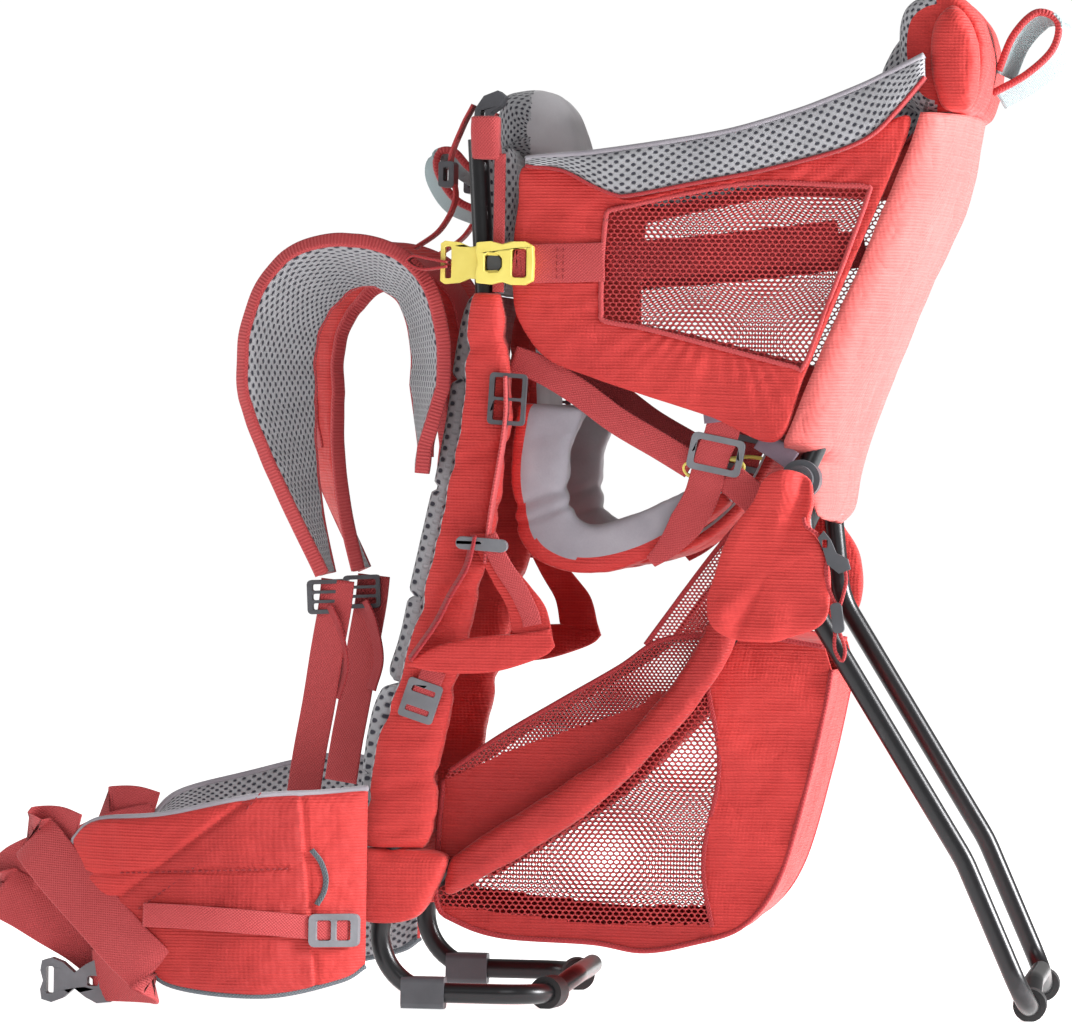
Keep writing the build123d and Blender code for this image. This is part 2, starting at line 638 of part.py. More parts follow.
# Child's seat: a deep sling, and the padded rings round the leg openings
with BuildPart() as seat_sling:
    add(Plane.YZ.offset(-SLING_HALF) * ribbon(
        [(4, 470), (10, 345), (34, 318), (100, 318), (148, 348), (180, 404)], SLING_T, [30, 20, 40, 40]))
    extrude(amount=2 * SLING_HALF, dir=(1, 0, 0))
seat_sling.part.label = "seat_sling"
export_step(seat_sling.part, "parts/seat_sling.step")

with BuildPart() as seat_rings:
    for side, sign in SIDES:
        add(Plane.YZ.offset(sign * RING_IN) * outline([
            (-1, 422), (-6, 373), (3, 324), (24, 307), (53, 303), (88, 312), (123, 333), (151, 355), (142, 372),
            (115, 361), (87, 347), (54, 337), (38, 345), (36, 388), (51, 423),
        ]))
        extrude(amount=RING_OUT - RING_IN, dir=(sign, 0, 0))
seat_rings.part.label = "seat_rings"
export_step(seat_rings.part, "parts/seat_rings.step")

# Storage bag under the seat: two side panels, the wall that runs round them, and the lid
bag_low = [(-48, 162), (-54, 66), (-7, 49), (56, 47), (91, 40), (161, 59), (195, 94), (215, 163), (231, 226)]
bag_high = [(-44, 166), (-11, 189), (30, 214), (72, 239), (98, 258), (126, 262)]
for side, sign in SIDES:
    with BuildPart() as bag_side:
        add(Plane.YZ.offset(sign * (BAG_HALF - BAG_T)) * outline(bag_low + [(225, 258)] + bag_high[::-1]))
        extrude(amount=BAG_T, dir=(sign, 0, 0))
    bag_side.part.label = f"bag_side_{side}"
    export_step(bag_side.part, f"parts/bag_side_{side}.step")

with BuildPart() as bag_gusset:
    add(Plane.YZ.offset(BAG_T - BAG_HALF) * ribbon(bag_low, BAG_T, [20, 20, 20, 20, 20, 20, 20]))
    extrude(amount=2 * (BAG_HALF - BAG_T), dir=(1, 0, 0))
bag_gusset.part.label = "bag_gusset"
export_step(bag_gusset.part, "parts/bag_gusset.step")

with BuildPart() as bag_lid:
    add(Plane.YZ.offset(BAG_T - BAG_HALF) * ribbon(bag_high, BAG_T, [10, 10, 10, 10]))
    extrude(amount=2 * (BAG_HALF - BAG_T), dir=(1, 0, 0))
bag_lid.part.label = "bag_lid"
export_step(bag_lid.part, "parts/bag_lid.step")

# Fabric flaps outside the stand's hinges
FLAP_IN = PIN_END + 0.5
with BuildPart() as hinge_flaps:
    for side, sign in SIDES:
        add(Plane.YZ.offset(sign * FLAP_IN) * outline([
            (206, 344), (171, 328), (155, 286), (169, 265), (200, 262), (221, 273), (235, 280), (236, 315), (222, 344),
        ], 4))
        extrude(amount=3.5, dir=(sign, 0, 0))
        add(Plane.YZ.offset(sign * SHELL_LOW_HALF) * outline([
            (213, 334), (213, 343.5), (221.5, 343.5), (228, 334),
        ]))
        extrude(amount=FLAP_IN - SHELL_LOW_HALF + 1, dir=(sign, 0, 0))
    add(rear_shell.part, mode=Mode.SUBTRACT)
hinge_flaps.part.label = "hinge_flaps"
export_step(hinge_flaps.part, "parts/hinge_flaps.step")

# Stirrups for the child's feet: hanging webbing with its lock, and a padded loop
STIRRUP_IN = COLUMN_OUT + 2.0
with BuildPart() as stirrup_loops:
    for side, sign in SIDES:
        add(Plane.YZ.offset(sign * STIRRUP_IN) * ribbon(
            [(-22, 308), (-44, 276), (-68, 241), (-25, 241), (20, 256), (4, 282), (-14, 308)],
            3, [30, 5, 60, 6, 30]))
        extrude(amount=24, dir=(sign, 0, 0))
stirrup_loops.part.label = "stirrup_loops"
export_step(stirrup_loops.part, "parts/stirrup_loops.step")

with BuildPart() as stirrup_webbings:
    for side, sign in SIDES:
        add(Plane.YZ.offset(sign * STIRRUP_IN) * outline([
            (-15, 407.5), (5, 407.5), (-6, 345), (-8, 310), (-28, 310), (-26, 345),
        ]))
        extrude(amount=WEB_T, dir=(sign, 0, 0))
stirrup_webbings.part.label = "stirrup_webbings"
export_step(stirrup_webbings.part, "parts/stirrup_webbings.step")

with BuildPart() as stirrup_locks:
    for side, sign in SIDES:
        add(Plane.YZ.offset(sign * (COLUMN_OUT + 0.3)) * outline([(-18, 408), (-16, 442), (6, 442), (9, 408)], 3))
        extrude(amount=8, dir=(sign, 0, 0))
stirrup_locks.part.label = "stirrup_locks"
export_step(stirrup_locks.part, "parts/stirrup_locks.step")

# Webbing that raises and lowers the seat, with its ring lock
HEIGHT_X = SLEEVE_OUT + 0.5
with BuildPart() as height_straps:
    for side, sign in SIDES:
        add(Plane.YZ.offset(sign * (RING_OUT + 0.5)) * outline([
            (124, 377), (149, 377), (140, 352), (102, 312), (84, 322), (120, 356),
        ]))
        extrude(amount=WEB_T, dir=(sign, 0, 0))
height_straps.part.label = "height_straps"
export_step(height_straps.part, "parts/height_straps.step")

with BuildPart() as height_locks:
    for side, sign in SIDES:
        add(Plane.YZ.offset(sign * (RING_OUT + 0.3)) * outline([(119, 378), (119, 405), (158, 401), (153, 378)], 4))
        extrude(amount=9, dir=(sign, 0, 0))
        add(slab(outline([(125, 384), (125, 389), (148, 389), (148, 384)]), -200, 200), mode=Mode.SUBTRACT)
height_locks.part.label = "height_locks"
export_step(height_locks.part, "parts/height_locks.step")

# Hook on a short doubled cord, outside the left hinge flap
with BuildPart() as cord_hook:
    add(Plane.YZ.offset(FLAP_IN + 4.5) * outline([
        (215, 338), (214, 314), (229, 312), (228, 336),
    ], 2))
    extrude(amount=7, dir=(1, 0, 0))
    add(Plane.YZ.offset(FLAP_IN + 6.5) * outline([(218, 315), (219, 268), (227, 268), (225, 315)]))
    extrude(amount=3, dir=(1, 0, 0))
cord_hook.part.label = "cord_hook"
export_step(cord_hook.part, "parts/cord_hook.step")
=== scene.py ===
# %% [markdown]
# # A framed carrier for a small child
# This lesson dresses a bare tube frame as a finished carrier: cloth panels, open mesh, webbing
# and moulded buckles. The frame is loaded first, because every soft piece is placed from it.

# %% Load the frame
import math

import bmesh
import bpy
import numpy as np
from mathutils import Matrix, Vector
from mathutils.geometry import tessellate_polygon


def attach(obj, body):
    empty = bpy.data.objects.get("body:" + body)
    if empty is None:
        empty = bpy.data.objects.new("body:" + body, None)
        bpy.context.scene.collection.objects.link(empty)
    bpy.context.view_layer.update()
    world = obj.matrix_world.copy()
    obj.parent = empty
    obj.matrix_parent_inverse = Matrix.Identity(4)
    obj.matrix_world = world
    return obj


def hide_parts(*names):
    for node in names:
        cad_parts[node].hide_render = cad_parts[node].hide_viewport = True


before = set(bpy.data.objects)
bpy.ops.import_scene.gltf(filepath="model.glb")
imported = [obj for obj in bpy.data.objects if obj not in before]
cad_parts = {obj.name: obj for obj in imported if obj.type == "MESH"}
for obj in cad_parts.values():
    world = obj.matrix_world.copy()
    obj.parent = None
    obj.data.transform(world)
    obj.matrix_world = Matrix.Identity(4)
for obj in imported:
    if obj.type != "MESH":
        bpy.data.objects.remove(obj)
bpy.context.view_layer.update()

MM = 0.001

# %% [markdown]
# ## The camera
# A long lens from the wearer's left shows the side panel flat on. The camera stands a little
# towards the back of the carrier and close to the ground, and leans by about one degree.

# %% Camera
VIEW_DISTANCE = 5.4
VIEW_AZIMUTH = math.radians(96.5)
VIEW_ELEVATION = math.radians(0.65)
VIEW_LEAN = math.radians(0.93)
VIEW_WIDTH = 0.761
VIEW_CENTRE = Vector((0.0, 0.0, 0.343))

camera_data = bpy.data.cameras.new("camera")
camera = bpy.data.objects.new("camera", camera_data)
bpy.context.scene.collection.objects.link(camera)
to_camera = Vector((math.sin(VIEW_AZIMUTH) * math.cos(VIEW_ELEVATION),
                    -math.cos(VIEW_AZIMUTH) * math.cos(VIEW_ELEVATION),
                    math.sin(VIEW_ELEVATION)))
camera.location = VIEW_CENTRE + to_camera * VIEW_DISTANCE
turn = (-to_camera).to_track_quat("-Z", "Y").to_matrix().to_4x4()
camera.rotation_mode = "QUATERNION"
camera.rotation_quaternion = (turn @ Matrix.Rotation(VIEW_LEAN, 4, "Z")).to_quaternion()
camera_data.sensor_width = 36.0
camera_data.lens = 36.0 * VIEW_DISTANCE / VIEW_WIDTH
camera_data.clip_end = 60.0
bpy.context.scene.camera = camera

# %% [markdown]
# ## Light
# Pale fabric and black tube both have to read, so the light is broad and soft: a bright world, one large lamp
# behind the child's seat that whitens the back shell, helped there by a paler shell cloth that is painted
# highlight, and one on the camera's side.

# %% World and lamps
world = bpy.data.worlds.new("studio")
bpy.context.scene.world = world
world.use_nodes = True
sky = world.node_tree
fill_light = sky.nodes["Background"]
fill_light.inputs["Color"].default_value = (1.0, 0.985, 0.975, 1.0)
fill_light.inputs["Strength"].default_value = 0.33
paper = sky.nodes.new("ShaderNodeBackground")
paper.inputs["Color"].default_value = (1.0, 1.0, 1.0, 1.0)
paper.inputs["Strength"].default_value = 1.02
ray, either = sky.nodes.new("ShaderNodeLightPath"), sky.nodes.new("ShaderNodeMixShader")
sky.links.new(ray.outputs["Is Camera Ray"], either.inputs[0])
sky.links.new(fill_light.outputs[0], either.inputs[1])
sky.links.new(paper.outputs[0], either.inputs[2])
sky.links.new(either.outputs[0], sky.nodes["World Output"].inputs[0])
scene = bpy.context.scene
scene.view_settings.view_transform = "Standard"
scene.view_settings.look = "None"


def add_lamp(name, place, aim, size, power):
    """A square area lamp at `place`, turned so that it faces `aim`."""
    lamp_data = bpy.data.lights.new(name, "AREA")
    lamp_data.energy = power
    lamp_data.size = size
    lamp = bpy.data.objects.new(name, lamp_data)
    lamp.location = place
    lamp.rotation_mode = "QUATERNION"
    lamp.rotation_quaternion = (Vector(aim) - Vector(place)).to_track_quat("-Z", "Y")
    scene.collection.objects.link(lamp)


add_lamp("lamp_behind", (0.15, 2.7, 1.1), (0, 0.15, 0.45), 0.9, 165)
add_lamp("lamp_side", (2.7, 0.5, 1.9), (0, 0, 0.35), 1.2, 13)
add_lamp("lamp_front", (0.3, -2.4, 1.0), (0, -0.1, 0.35), 1.0, 13)

# %% [markdown]
# ## Shader maths as expressions
# A weave is a sum of waves, so its nodes are easier to read as a formula. `Value` wraps one
# socket: adding or multiplying two of them adds the Math node that does it.

# %% Shader helpers


class Value:
    """One number that varies over a surface, kept as a node socket."""

    def __init__(self, finish, socket):
        self.finish, self.socket = finish, socket

    def math(self, operation, *others, clamp=False):
        node = self.finish.node("ShaderNodeMath", {"operation": operation, "use_clamp": clamp}, *others)
        return Value(self.finish, node.outputs[0])

    def __add__(self, other): return self.math("ADD", self, other)
    def __radd__(self, other): return self.math("ADD", other, self)
    def __sub__(self, other): return self.math("SUBTRACT", self, other)
    def __rsub__(self, other): return self.math("SUBTRACT", other, self)
    def __mul__(self, other): return self.math("MULTIPLY", self, other)
    def __rmul__(self, other): return self.math("MULTIPLY", other, self)
    def __truediv__(self, other): return self.math("DIVIDE", self, other)
    def __pow__(self, other): return self.math("POWER", self, other)
    def sin(self): return self.math("SINE", self)
    def cos(self): return self.math("COSINE", self)
    def abs(self): return self.math("ABSOLUTE", self)
    def floor(self): return self.math("FLOOR", self)
    def frac(self): return self.math("FRACT", self)
    def modulo(self, other): return self.math("FLOORED_MODULO", self, other)
    def clamp(self): return self.math("ADD", self, 0.0, clamp=True)

    def step(self, low, high):
        """0 below `low`, 1 above `high`, and a straight ramp between."""
        node = self.finish.node("ShaderNodeMapRange", {"clamp": True}, self, low, high, 0.0, 1.0)
        return Value(self.finish, node.outputs[0])


class Finish:
    """A material under construction: its node tree, its shader and short names for its nodes."""

    def __init__(self, name):
        self.material = bpy.data.materials.new(name)
        self.material.use_nodes = True
        self.tree = self.material.node_tree
        self.shader = self.tree.nodes["Principled BSDF"]

    def node(self, kind, settings=None, *inputs, **named):
        made = self.tree.nodes.new(kind)
        for key, value in (settings or {}).items():
            setattr(made, key, value)
        for number, value in enumerate(inputs):
            self.feed(made.inputs[number], value)
        for key, value in named.items():
            self.feed(made.inputs[key.replace("_", " ")], value)
        return made

    def feed(self, socket, value):
        if isinstance(value, Value):
            self.tree.links.new(value.socket, socket)
        elif isinstance(value, bpy.types.NodeSocket):
            self.tree.links.new(value, socket)
        elif isinstance(value, tuple) and len(value) == 3 and socket.type == "RGBA":
            socket.default_value = (*value, 1.0)
        else:
            socket.default_value = value

    def place(self):
        """The three coordinates of the object, in metres."""
        parts = self.node("ShaderNodeSeparateXYZ", None, self.node("ShaderNodeTexCoord").outputs["Object"])
        return [Value(self, parts.outputs[i]) for i in range(3)]

    def cloth(self):
        """How far along and across the cloth a point is, in metres, from the piece's own UV map."""
        parts = self.node("ShaderNodeSeparateXYZ", None, self.node("ShaderNodeTexCoord").outputs["UV"])
        return [Value(self, parts.outputs[i]) for i in range(2)]

    def noise(self, scale, detail=3.0, roughness=0.55):
        node = self.node("ShaderNodeTexNoise", None, Scale=scale, Detail=detail, Roughness=roughness,
                         Vector=self.node("ShaderNodeTexCoord").outputs["Object"])
        return Value(self, node.outputs[0])

    def blend(self, share, low, high):
        """A colour that goes from `low` to `high` as `share` goes from 0 to 1."""
        node = self.node("ShaderNodeMix", {"data_type": "RGBA"})
        self.feed(node.inputs[0], share)
        self.feed(node.inputs[6], low)
        self.feed(node.inputs[7], high)
        return node.outputs[2]

    def relief(self, height, distance, strength=1.0):
        """Bumps the surface by `height` times `distance` metres."""
        bump = self.node("ShaderNodeBump", None, Strength=strength, Distance=distance, Height=height)
        self.feed(self.shader.inputs["Normal"], bump.outputs[0])

    def set(self, **sockets):
        for key, value in sockets.items():
            self.feed(self.shader.inputs[key.replace("_", " ")], value)
        return self


TURN = 2 * math.pi


# %% [markdown]
# ## Cloth finishes
# The shell is a ripstop: fine ribs run level, and a thicker thread every few millimetres makes
# faint squares. Webbing is a coarse basket weave. The wearer's side is a knitted spacer mesh with
# staggered slots, and the windows are an open net that light passes through.

# %% Ripstop, webbing and lining
CORAL = (0.60, 0.046, 0.040)
CORAL_DEEP = (0.42, 0.024, 0.024)
WEB_PINK = (0.56, 0.085, 0.090)


def ripstop(name, base=CORAL, deep=CORAL_DEEP, rib=0.0021, rough=1.0):
    """Ribbed shell cloth: level ribs, thicker threads each ninth rib, and slow changes of shade."""
    cloth = Finish(name)
    x, y, z = cloth.place()
    drift = cloth.noise(9.0) * 0.004
    ribs = ((z + drift) * (TURN / rib)).sin()
    uprights = ((x + y + drift) * (TURN / (rib * 1.2))).sin()
    thick = ((z + drift) * (TURN / (rib * 4))).sin().step(0.75, 1.0)
    shade = cloth.noise(14.0, 4.0).step(0.3, 0.75)
    fine = cloth.noise(900.0, 2.0)
    tone = (shade * 0.55 + ribs * 0.14 + fine * 0.5 + thick * 0.2).clamp()
    cloth.set(Base_Color=cloth.blend(tone, deep, base), Roughness=cloth.noise(60.0) * 0.16 + 0.55)
    crease = (cloth.noise(24.0, 2.0) - 0.5).abs() * 26.0 + (cloth.noise(55.0, 2.0) - 0.5).abs() * 7.0
    cloth.relief(ribs * 0.6 + uprights * 0.25 + thick * 0.7 + fine * 0.8 + crease * rough, 0.00022)
    cloth.set(Sheen_Weight=0.12, Sheen_Roughness=0.4, Specular_IOR_Level=0.3)
    return cloth.material


def webbing(name, base=WEB_PINK, deep=(0.36, 0.025, 0.028)):
    """Woven tape: a basket of short floats across and along, with a rolled edge."""
    tape = Finish(name)
    along, across = tape.cloth()
    warp = (across * (TURN / 0.0021)).sin()
    weft = (along * (TURN / 0.0024)).sin()
    floats = warp * weft
    speck = tape.noise(1200.0, 2.0)
    tone = (floats * 0.22 + speck * 0.5 + tape.noise(25.0) * 0.35 + 0.05).clamp()
    tape.set(Base_Color=tape.blend(tone, deep, base), Roughness=0.62)
    tape.relief(floats * 0.7 + speck * 0.4, 0.0003)
    tape.set(Sheen_Weight=0.12, Specular_IOR_Level=0.3)
    return tape.material


def lining(name, base=(0.36, 0.34, 0.375), deep=(0.21, 0.19, 0.22)):
    """Smooth brushed lining, nearly flat, with a soft sheen."""
    soft = Finish(name)
    grain = soft.noise(700.0, 2.0)
    tone = (soft.noise(18.0, 4.0).step(0.25, 0.7) * 0.8 + grain * 0.2).clamp()
    soft.set(Base_Color=soft.blend(tone, deep, base), Roughness=0.72)
    soft.relief(grain, 0.00012)
    soft.set(Sheen_Weight=0.3, Specular_IOR_Level=0.25)
    return soft.material


# %% [markdown]
# A hole in a mesh is a shape in a repeating cell. The cell's own coordinates run from -0.5 to 0.5,
# and every other row is moved by half a cell, which gives the staggered look of a knit.

# %% Spacer mesh and see-through net


def cell(finish, wide, tall):
    """Cell coordinates of a staggered grid, each from -0.5 to 0.5."""
    along, across = finish.cloth()
    row = (along / tall).floor()
    shift = row.modulo(2.0) * 0.5
    return ((across / wide) + shift).frac() - 0.5, (along / tall).frac() - 0.5


def spacer_mesh(name, base=(0.42, 0.42, 0.445), slot_shade_colour=(0.04, 0.04, 0.055), wide=0.0052, tall=0.0040):
    """Knitted spacer cloth: raised pale threads round long slots, painted near-black as the shade inside
    them.
    """
    knit = Finish(name)
    px, py = cell(knit, wide, tall)
    reach = ((px / 0.17) ** 2.0 + (py / 0.40) ** 2.0)
    slot_shade_share = 1.0 - reach.step(0.7, 1.25)
    rim = (1.0 - (reach - 1.7).abs() / 1.1).clamp()
    yarn = knit.noise(1500.0, 2.0)
    body = knit.blend((yarn * 0.5 + knit.noise(20.0).step(0.3, 0.7) * 0.5).clamp(),
                      tuple(c * 0.72 for c in base), base)
    # The slots are not cut through: their near-black colour is painted shade in the recess.
    knit.set(Base_Color=knit.blend(slot_shade_share, body, slot_shade_colour), Roughness=0.8)
    knit.relief(reach.step(0.6, 2.4) + rim * 0.25 + yarn * 0.18, 0.0011)
    knit.set(Sheen_Weight=0.3, Specular_IOR_Level=0.2)
    return knit.material


def open_net(name, base=(0.66, 0.06, 0.06), deep=(0.34, 0.02, 0.025), wide=0.0044, tall=0.0030, gap=0.45):
    """Open net: diamond holes in a staggered grid, cut clean through by Alpha."""
    net = Finish(name)
    px, py = cell(net, wide, tall)
    reach = (px.abs() / gap) ** 1.6 + (py.abs() / (gap * 1.05)) ** 1.6
    thread = reach.step(0.82, 1.1)
    tone = (net.noise(1300.0, 2.0) * 0.6 + net.noise(22.0).step(0.3, 0.7) * 0.5).clamp()
    net.set(Base_Color=net.blend(tone, deep, base), Roughness=0.6, Alpha=thread)
    net.relief(reach.step(0.8, 2.2), 0.0008)
    net.set(Sheen_Weight=0.25, Specular_IOR_Level=0.3)
    return net.material


# %% [markdown]
# ## Hard finishes
# The tubes are black anodised: a thin satin layer that still shows the metal's long highlight.
# Buckles are moulded nylon with a fine spark-eroded grain, and the feet are plain rubber.

# %% Tube, plastic, rubber


def moulded(name, base, deep, roughness=0.42, grain=0.00006, coat=0.0):
    """Moulded plastic: an even colour with slight flow marks and a fine grain."""
    mould = Finish(name)
    speck = mould.noise(1600.0, 2.0)
    flow = mould.noise(35.0, 4.0).step(0.3, 0.75)
    mould.set(Base_Color=mould.blend(flow, deep, base), Roughness=flow * 0.1 + roughness)
    mould.relief(speck, grain)
    mould.set(Specular_IOR_Level=0.5, Coat_Weight=coat, Coat_Roughness=0.2)
    return mould.material


def anodised(name):
    """Black anodised tube: satin, with fine lengthwise drawing marks and a few pale rubs."""
    tube = Finish(name)
    marks = tube.noise(400.0, 5.0, 0.7)
    rubs = tube.noise(30.0, 5.0).step(0.62, 0.8)
    tube.set(Base_Color=tube.blend(rubs * 0.5, (0.012, 0.012, 0.014), (0.10, 0.10, 0.11)),
             Roughness=marks * 0.14 + 0.24, Metallic=0.55)
    tube.relief(marks, 0.00003)
    tube.set(Specular_IOR_Level=0.55, Coat_Weight=0.25, Coat_Roughness=0.28)
    return tube.material


ripstop_red = ripstop("ripstop_red")
ripstop_dark = ripstop("ripstop_dark", (0.40, 0.024, 0.03), (0.20, 0.010, 0.016))
ripstop_mid = ripstop("ripstop_mid", (0.47, 0.032, 0.028), (0.31, 0.017, 0.018))
# A paler copy of the shell cloth: painted highlight, standing in for the glare of the lamp on the rear shell.
ripstop_painted_glare = ripstop("ripstop_painted_glare", (0.66, 0.14, 0.13), (0.52, 0.085, 0.08))
web_red = webbing("web_red")
web_deep = webbing("web_deep", (0.46, 0.035, 0.04), (0.24, 0.014, 0.018))
web_teal = webbing("web_teal", (0.38, 0.47, 0.48), (0.20, 0.27, 0.29))
web_slate = webbing("web_slate", (0.16, 0.19, 0.21), (0.07, 0.085, 0.10))
mesh_grey = spacer_mesh("mesh_grey")
net_fine = open_net("net_fine", wide=0.0031, tall=0.0022, gap=0.36)
net_red = open_net("net_red")
lining_grey = lining("lining_grey")
# The paler lining: on the far leg ring and the sling it is painted fill light over faces that lie in shade.
lining_pale = lining("lining_pale", (0.60, 0.585, 0.61), (0.40, 0.385, 0.41))
lining_dusk = lining("lining_dusk", (0.26, 0.19, 0.24), (0.12, 0.08, 0.11))
tube_black = anodised("tube_black")
nylon_dark = moulded("nylon_dark", (0.085, 0.088, 0.10), (0.05, 0.052, 0.06))
nylon_grey = moulded("nylon_grey", (0.20, 0.205, 0.225), (0.12, 0.122, 0.135), 0.36)
nylon_yellow = moulded("nylon_yellow", (0.84, 0.72, 0.17), (0.74, 0.60, 0.11), 0.34, 0.00004, 0.2)
rubber_black = moulded("rubber_black", (0.022, 0.022, 0.024), (0.012, 0.012, 0.013), 0.62)
thread_deep = webbing("thread_deep", (0.33, 0.02, 0.025), (0.18, 0.012, 0.015))
print("finishes", len(bpy.data.materials))

# %% [markdown]
# ## Surfaces from arrays
# Every soft piece is a grid of points worked out at once. A closed shell is two copies of a middle
# surface, one pushed each way along its normals, and stitched at its edges.

# %% Curves and grids


def curve(points, count, closed=False):
    """A smooth curve through the points: cubic pieces whose slope at a point is that of its two
    neighbours, read at `count` places evenly spaced by length."""
    pts = np.asarray(points, float)
    if closed:
        pts = np.vstack([pts[-1:], pts, pts[:2]])
    else:
        pts = np.vstack([2 * pts[0] - pts[1], pts, 2 * pts[-1] - pts[-2]])
    t = np.linspace(0, len(pts) - 3, 40 * len(pts))
    i = np.minimum(t.astype(int), len(pts) - 4)
    f = (t - i)[:, None]
    a, b, c, d = pts[i], pts[i + 1], pts[i + 2], pts[i + 3]
    run = 0.5 * (2 * b + (c - a) * f + (2 * a - 5 * b + 4 * c - d) * f**2 + (3 * b - a - 3 * c + d) * f**3)
    length = np.concatenate([[0], np.cumsum(np.linalg.norm(np.diff(run, axis=0), axis=1))])
    ask = np.linspace(0, length[-1], count + 1)[:-1] if closed else np.linspace(0, length[-1], count)
    return np.stack([np.interp(ask, length, run[:, k]) for k in range(pts.shape[1])], axis=1)


def side(points, x):
    """Side-view points (y, z) in millimetres, placed at `x` millimetres, in metres."""
    pts = np.asarray(points, float)
    return np.column_stack([np.broadcast_to(x, len(pts)), pts[:, 0], pts[:, 1]]) * MM


def between(low, high, count):
    """A grid of straight lines from each point of one curve to the same point of another."""
    share = np.linspace(0, 1, count)[None, :, None]
    return low[:, None, :] * (1 - share) + high[:, None, :] * share


def grid_normals(grid):
    """Unit normals of a grid: the cross product of its two directions of travel."""
    du, dv = np.gradient(grid, axis=0), np.gradient(grid, axis=1)
    n = np.cross(du, dv)
    return n / np.maximum(np.linalg.norm(n, axis=2, keepdims=True), 1e-12)


def waves(grid, size, seed, octaves=3):
    """Smooth rumple from -1 to 1: sums of slanted waves, each octave half as long and half as high."""
    rng = np.random.default_rng(seed)
    total, high = np.zeros(grid.shape[:-1]), 0.0
    for octave in range(octaves):
        for _ in range(4):
            direction = rng.normal(size=3)
            direction /= np.linalg.norm(direction)
            phase = rng.uniform(0, TURN)
            bend = np.sin(grid @ rng.normal(size=3) * (3.0 / size) + rng.uniform(0, TURN))
            total += np.sin(grid @ direction * (TURN * 2**octave / size) + phase + bend) / 2**octave
        high += 4 / 2**octave
    return total / high * 1.6


def cloth_uv(grid):
    """Length along and across a grid, in metres, measured on its middle lines."""
    along = np.linalg.norm(np.diff(grid, axis=0), axis=2).mean(axis=1)
    across = np.linalg.norm(np.diff(grid, axis=1), axis=2).mean(axis=0)
    u = np.concatenate([[0], np.cumsum(along)])
    v = np.concatenate([[0], np.cumsum(across)])
    return np.stack(np.meshgrid(u, v, indexing="ij"), axis=2)


made_pieces = []


def to_object(name, points, faces, uvs, materials, face_material=None, smooth=True):
    """A mesh object from flat arrays. Faces are rows of four or three corners; uvs are per point."""
    mesh = bpy.data.meshes.new(name)
    mesh.from_pydata([tuple(p) for p in points], [], [tuple(int(k) for k in f if k >= 0) for f in faces])
    for material in materials:
        mesh.materials.append(material)
    if uvs is not None:
        layer = mesh.uv_layers.new(name="UVMap")
        corner = np.empty(len(mesh.loops), np.int32)
        mesh.loops.foreach_get("vertex_index", corner)
        layer.data.foreach_set("uv", np.asarray(uvs, np.float32)[corner].ravel())
    if face_material is not None:
        mesh.polygons.foreach_set("material_index", np.asarray(face_material, np.int32))
    mesh.polygons.foreach_set("use_smooth", np.full(len(mesh.polygons), smooth))
    mesh.update()
    piece = bpy.data.objects.new(name, mesh)
    scene.collection.objects.link(piece)
    made_pieces.append(name)
    return piece


def quads(rows, columns, start=0, closed_rows=False, flip=False):
    """Corner numbers of the quads of a grid of points stored row by row."""
    r = np.arange(rows if closed_rows else rows - 1)
    i, j = np.meshgrid(r, np.arange(columns - 1), indexing="ij")
    a, b = i * columns + j, ((i + 1) % rows) * columns + j
    made = np.stack([a, b, b + 1, a + 1], axis=2).reshape(-1, 4) + start
    return made[:, ::-1] if flip else made


def shell(name, grid, front, back, materials, closed=False, back_material=0, edge_material=0, uv_scale=1.0):
    """A closed cloth shell: the grid pushed by `front` along its normals and by `back` against them,
    then joined along its open edges."""
    rows, columns = grid.shape[:2]
    if closed:
        wrapped = np.concatenate([grid[-1:], grid, grid[:1]])
        normal = grid_normals(wrapped)[1:-1]
    else:
        normal = grid_normals(grid)
    top = grid + normal * np.asarray(front)[..., None]
    low = grid - normal * np.asarray(back)[..., None]
    count = rows * columns
    points = np.concatenate([top.reshape(-1, 3), low.reshape(-1, 3)])
    uv = cloth_uv(grid).reshape(-1, 2) * uv_scale
    faces = [quads(rows, columns, 0, closed), quads(rows, columns, count, closed, True)]
    index = np.arange(count).reshape(rows, columns)
    lines = []
    if closed:
        for edge, turned in ((index[:, 0], False), (index[:, -1], True)):
            loop = np.concatenate([edge, edge[:1]])
            lines.append((loop, turned))
    else:
        ring = np.concatenate([index[:, 0], index[-1, 1:], index[:-1, -1][::-1], index[0, 1:-1][::-1],
                               index[:1, 0]])
        lines.append((ring, False))
    rims = []
    for loop, turned in lines:
        a, b = loop[:-1], loop[1:]
        rim = np.stack([a, a + count, b + count, b], axis=1)
        rims.append(rim[:, ::-1] if turned else rim)
    faces += rims
    which = [np.zeros(len(faces[0])), np.full(len(faces[1]), back_material)]
    which += [np.full(len(rim), edge_material) for rim in rims]
    return to_object(name, points, np.concatenate(faces), np.concatenate([uv, uv]), materials,
                     np.concatenate(which))


def crown(rows, columns, edge=0.35, ends=True):
    """A cushion's thickness over a grid: 1 in the middle, falling to 0 round the edges."""
    def fall(n):
        t = np.linspace(0, 1, n)
        near = np.minimum(t, 1 - t) / edge
        return np.sqrt(np.clip(1 - (1 - np.clip(near, 0, 1)) ** 2, 0, 1))
    across = fall(columns)[None, :]
    return fall(rows)[:, None] * across if ends else np.ones((rows, 1)) * across


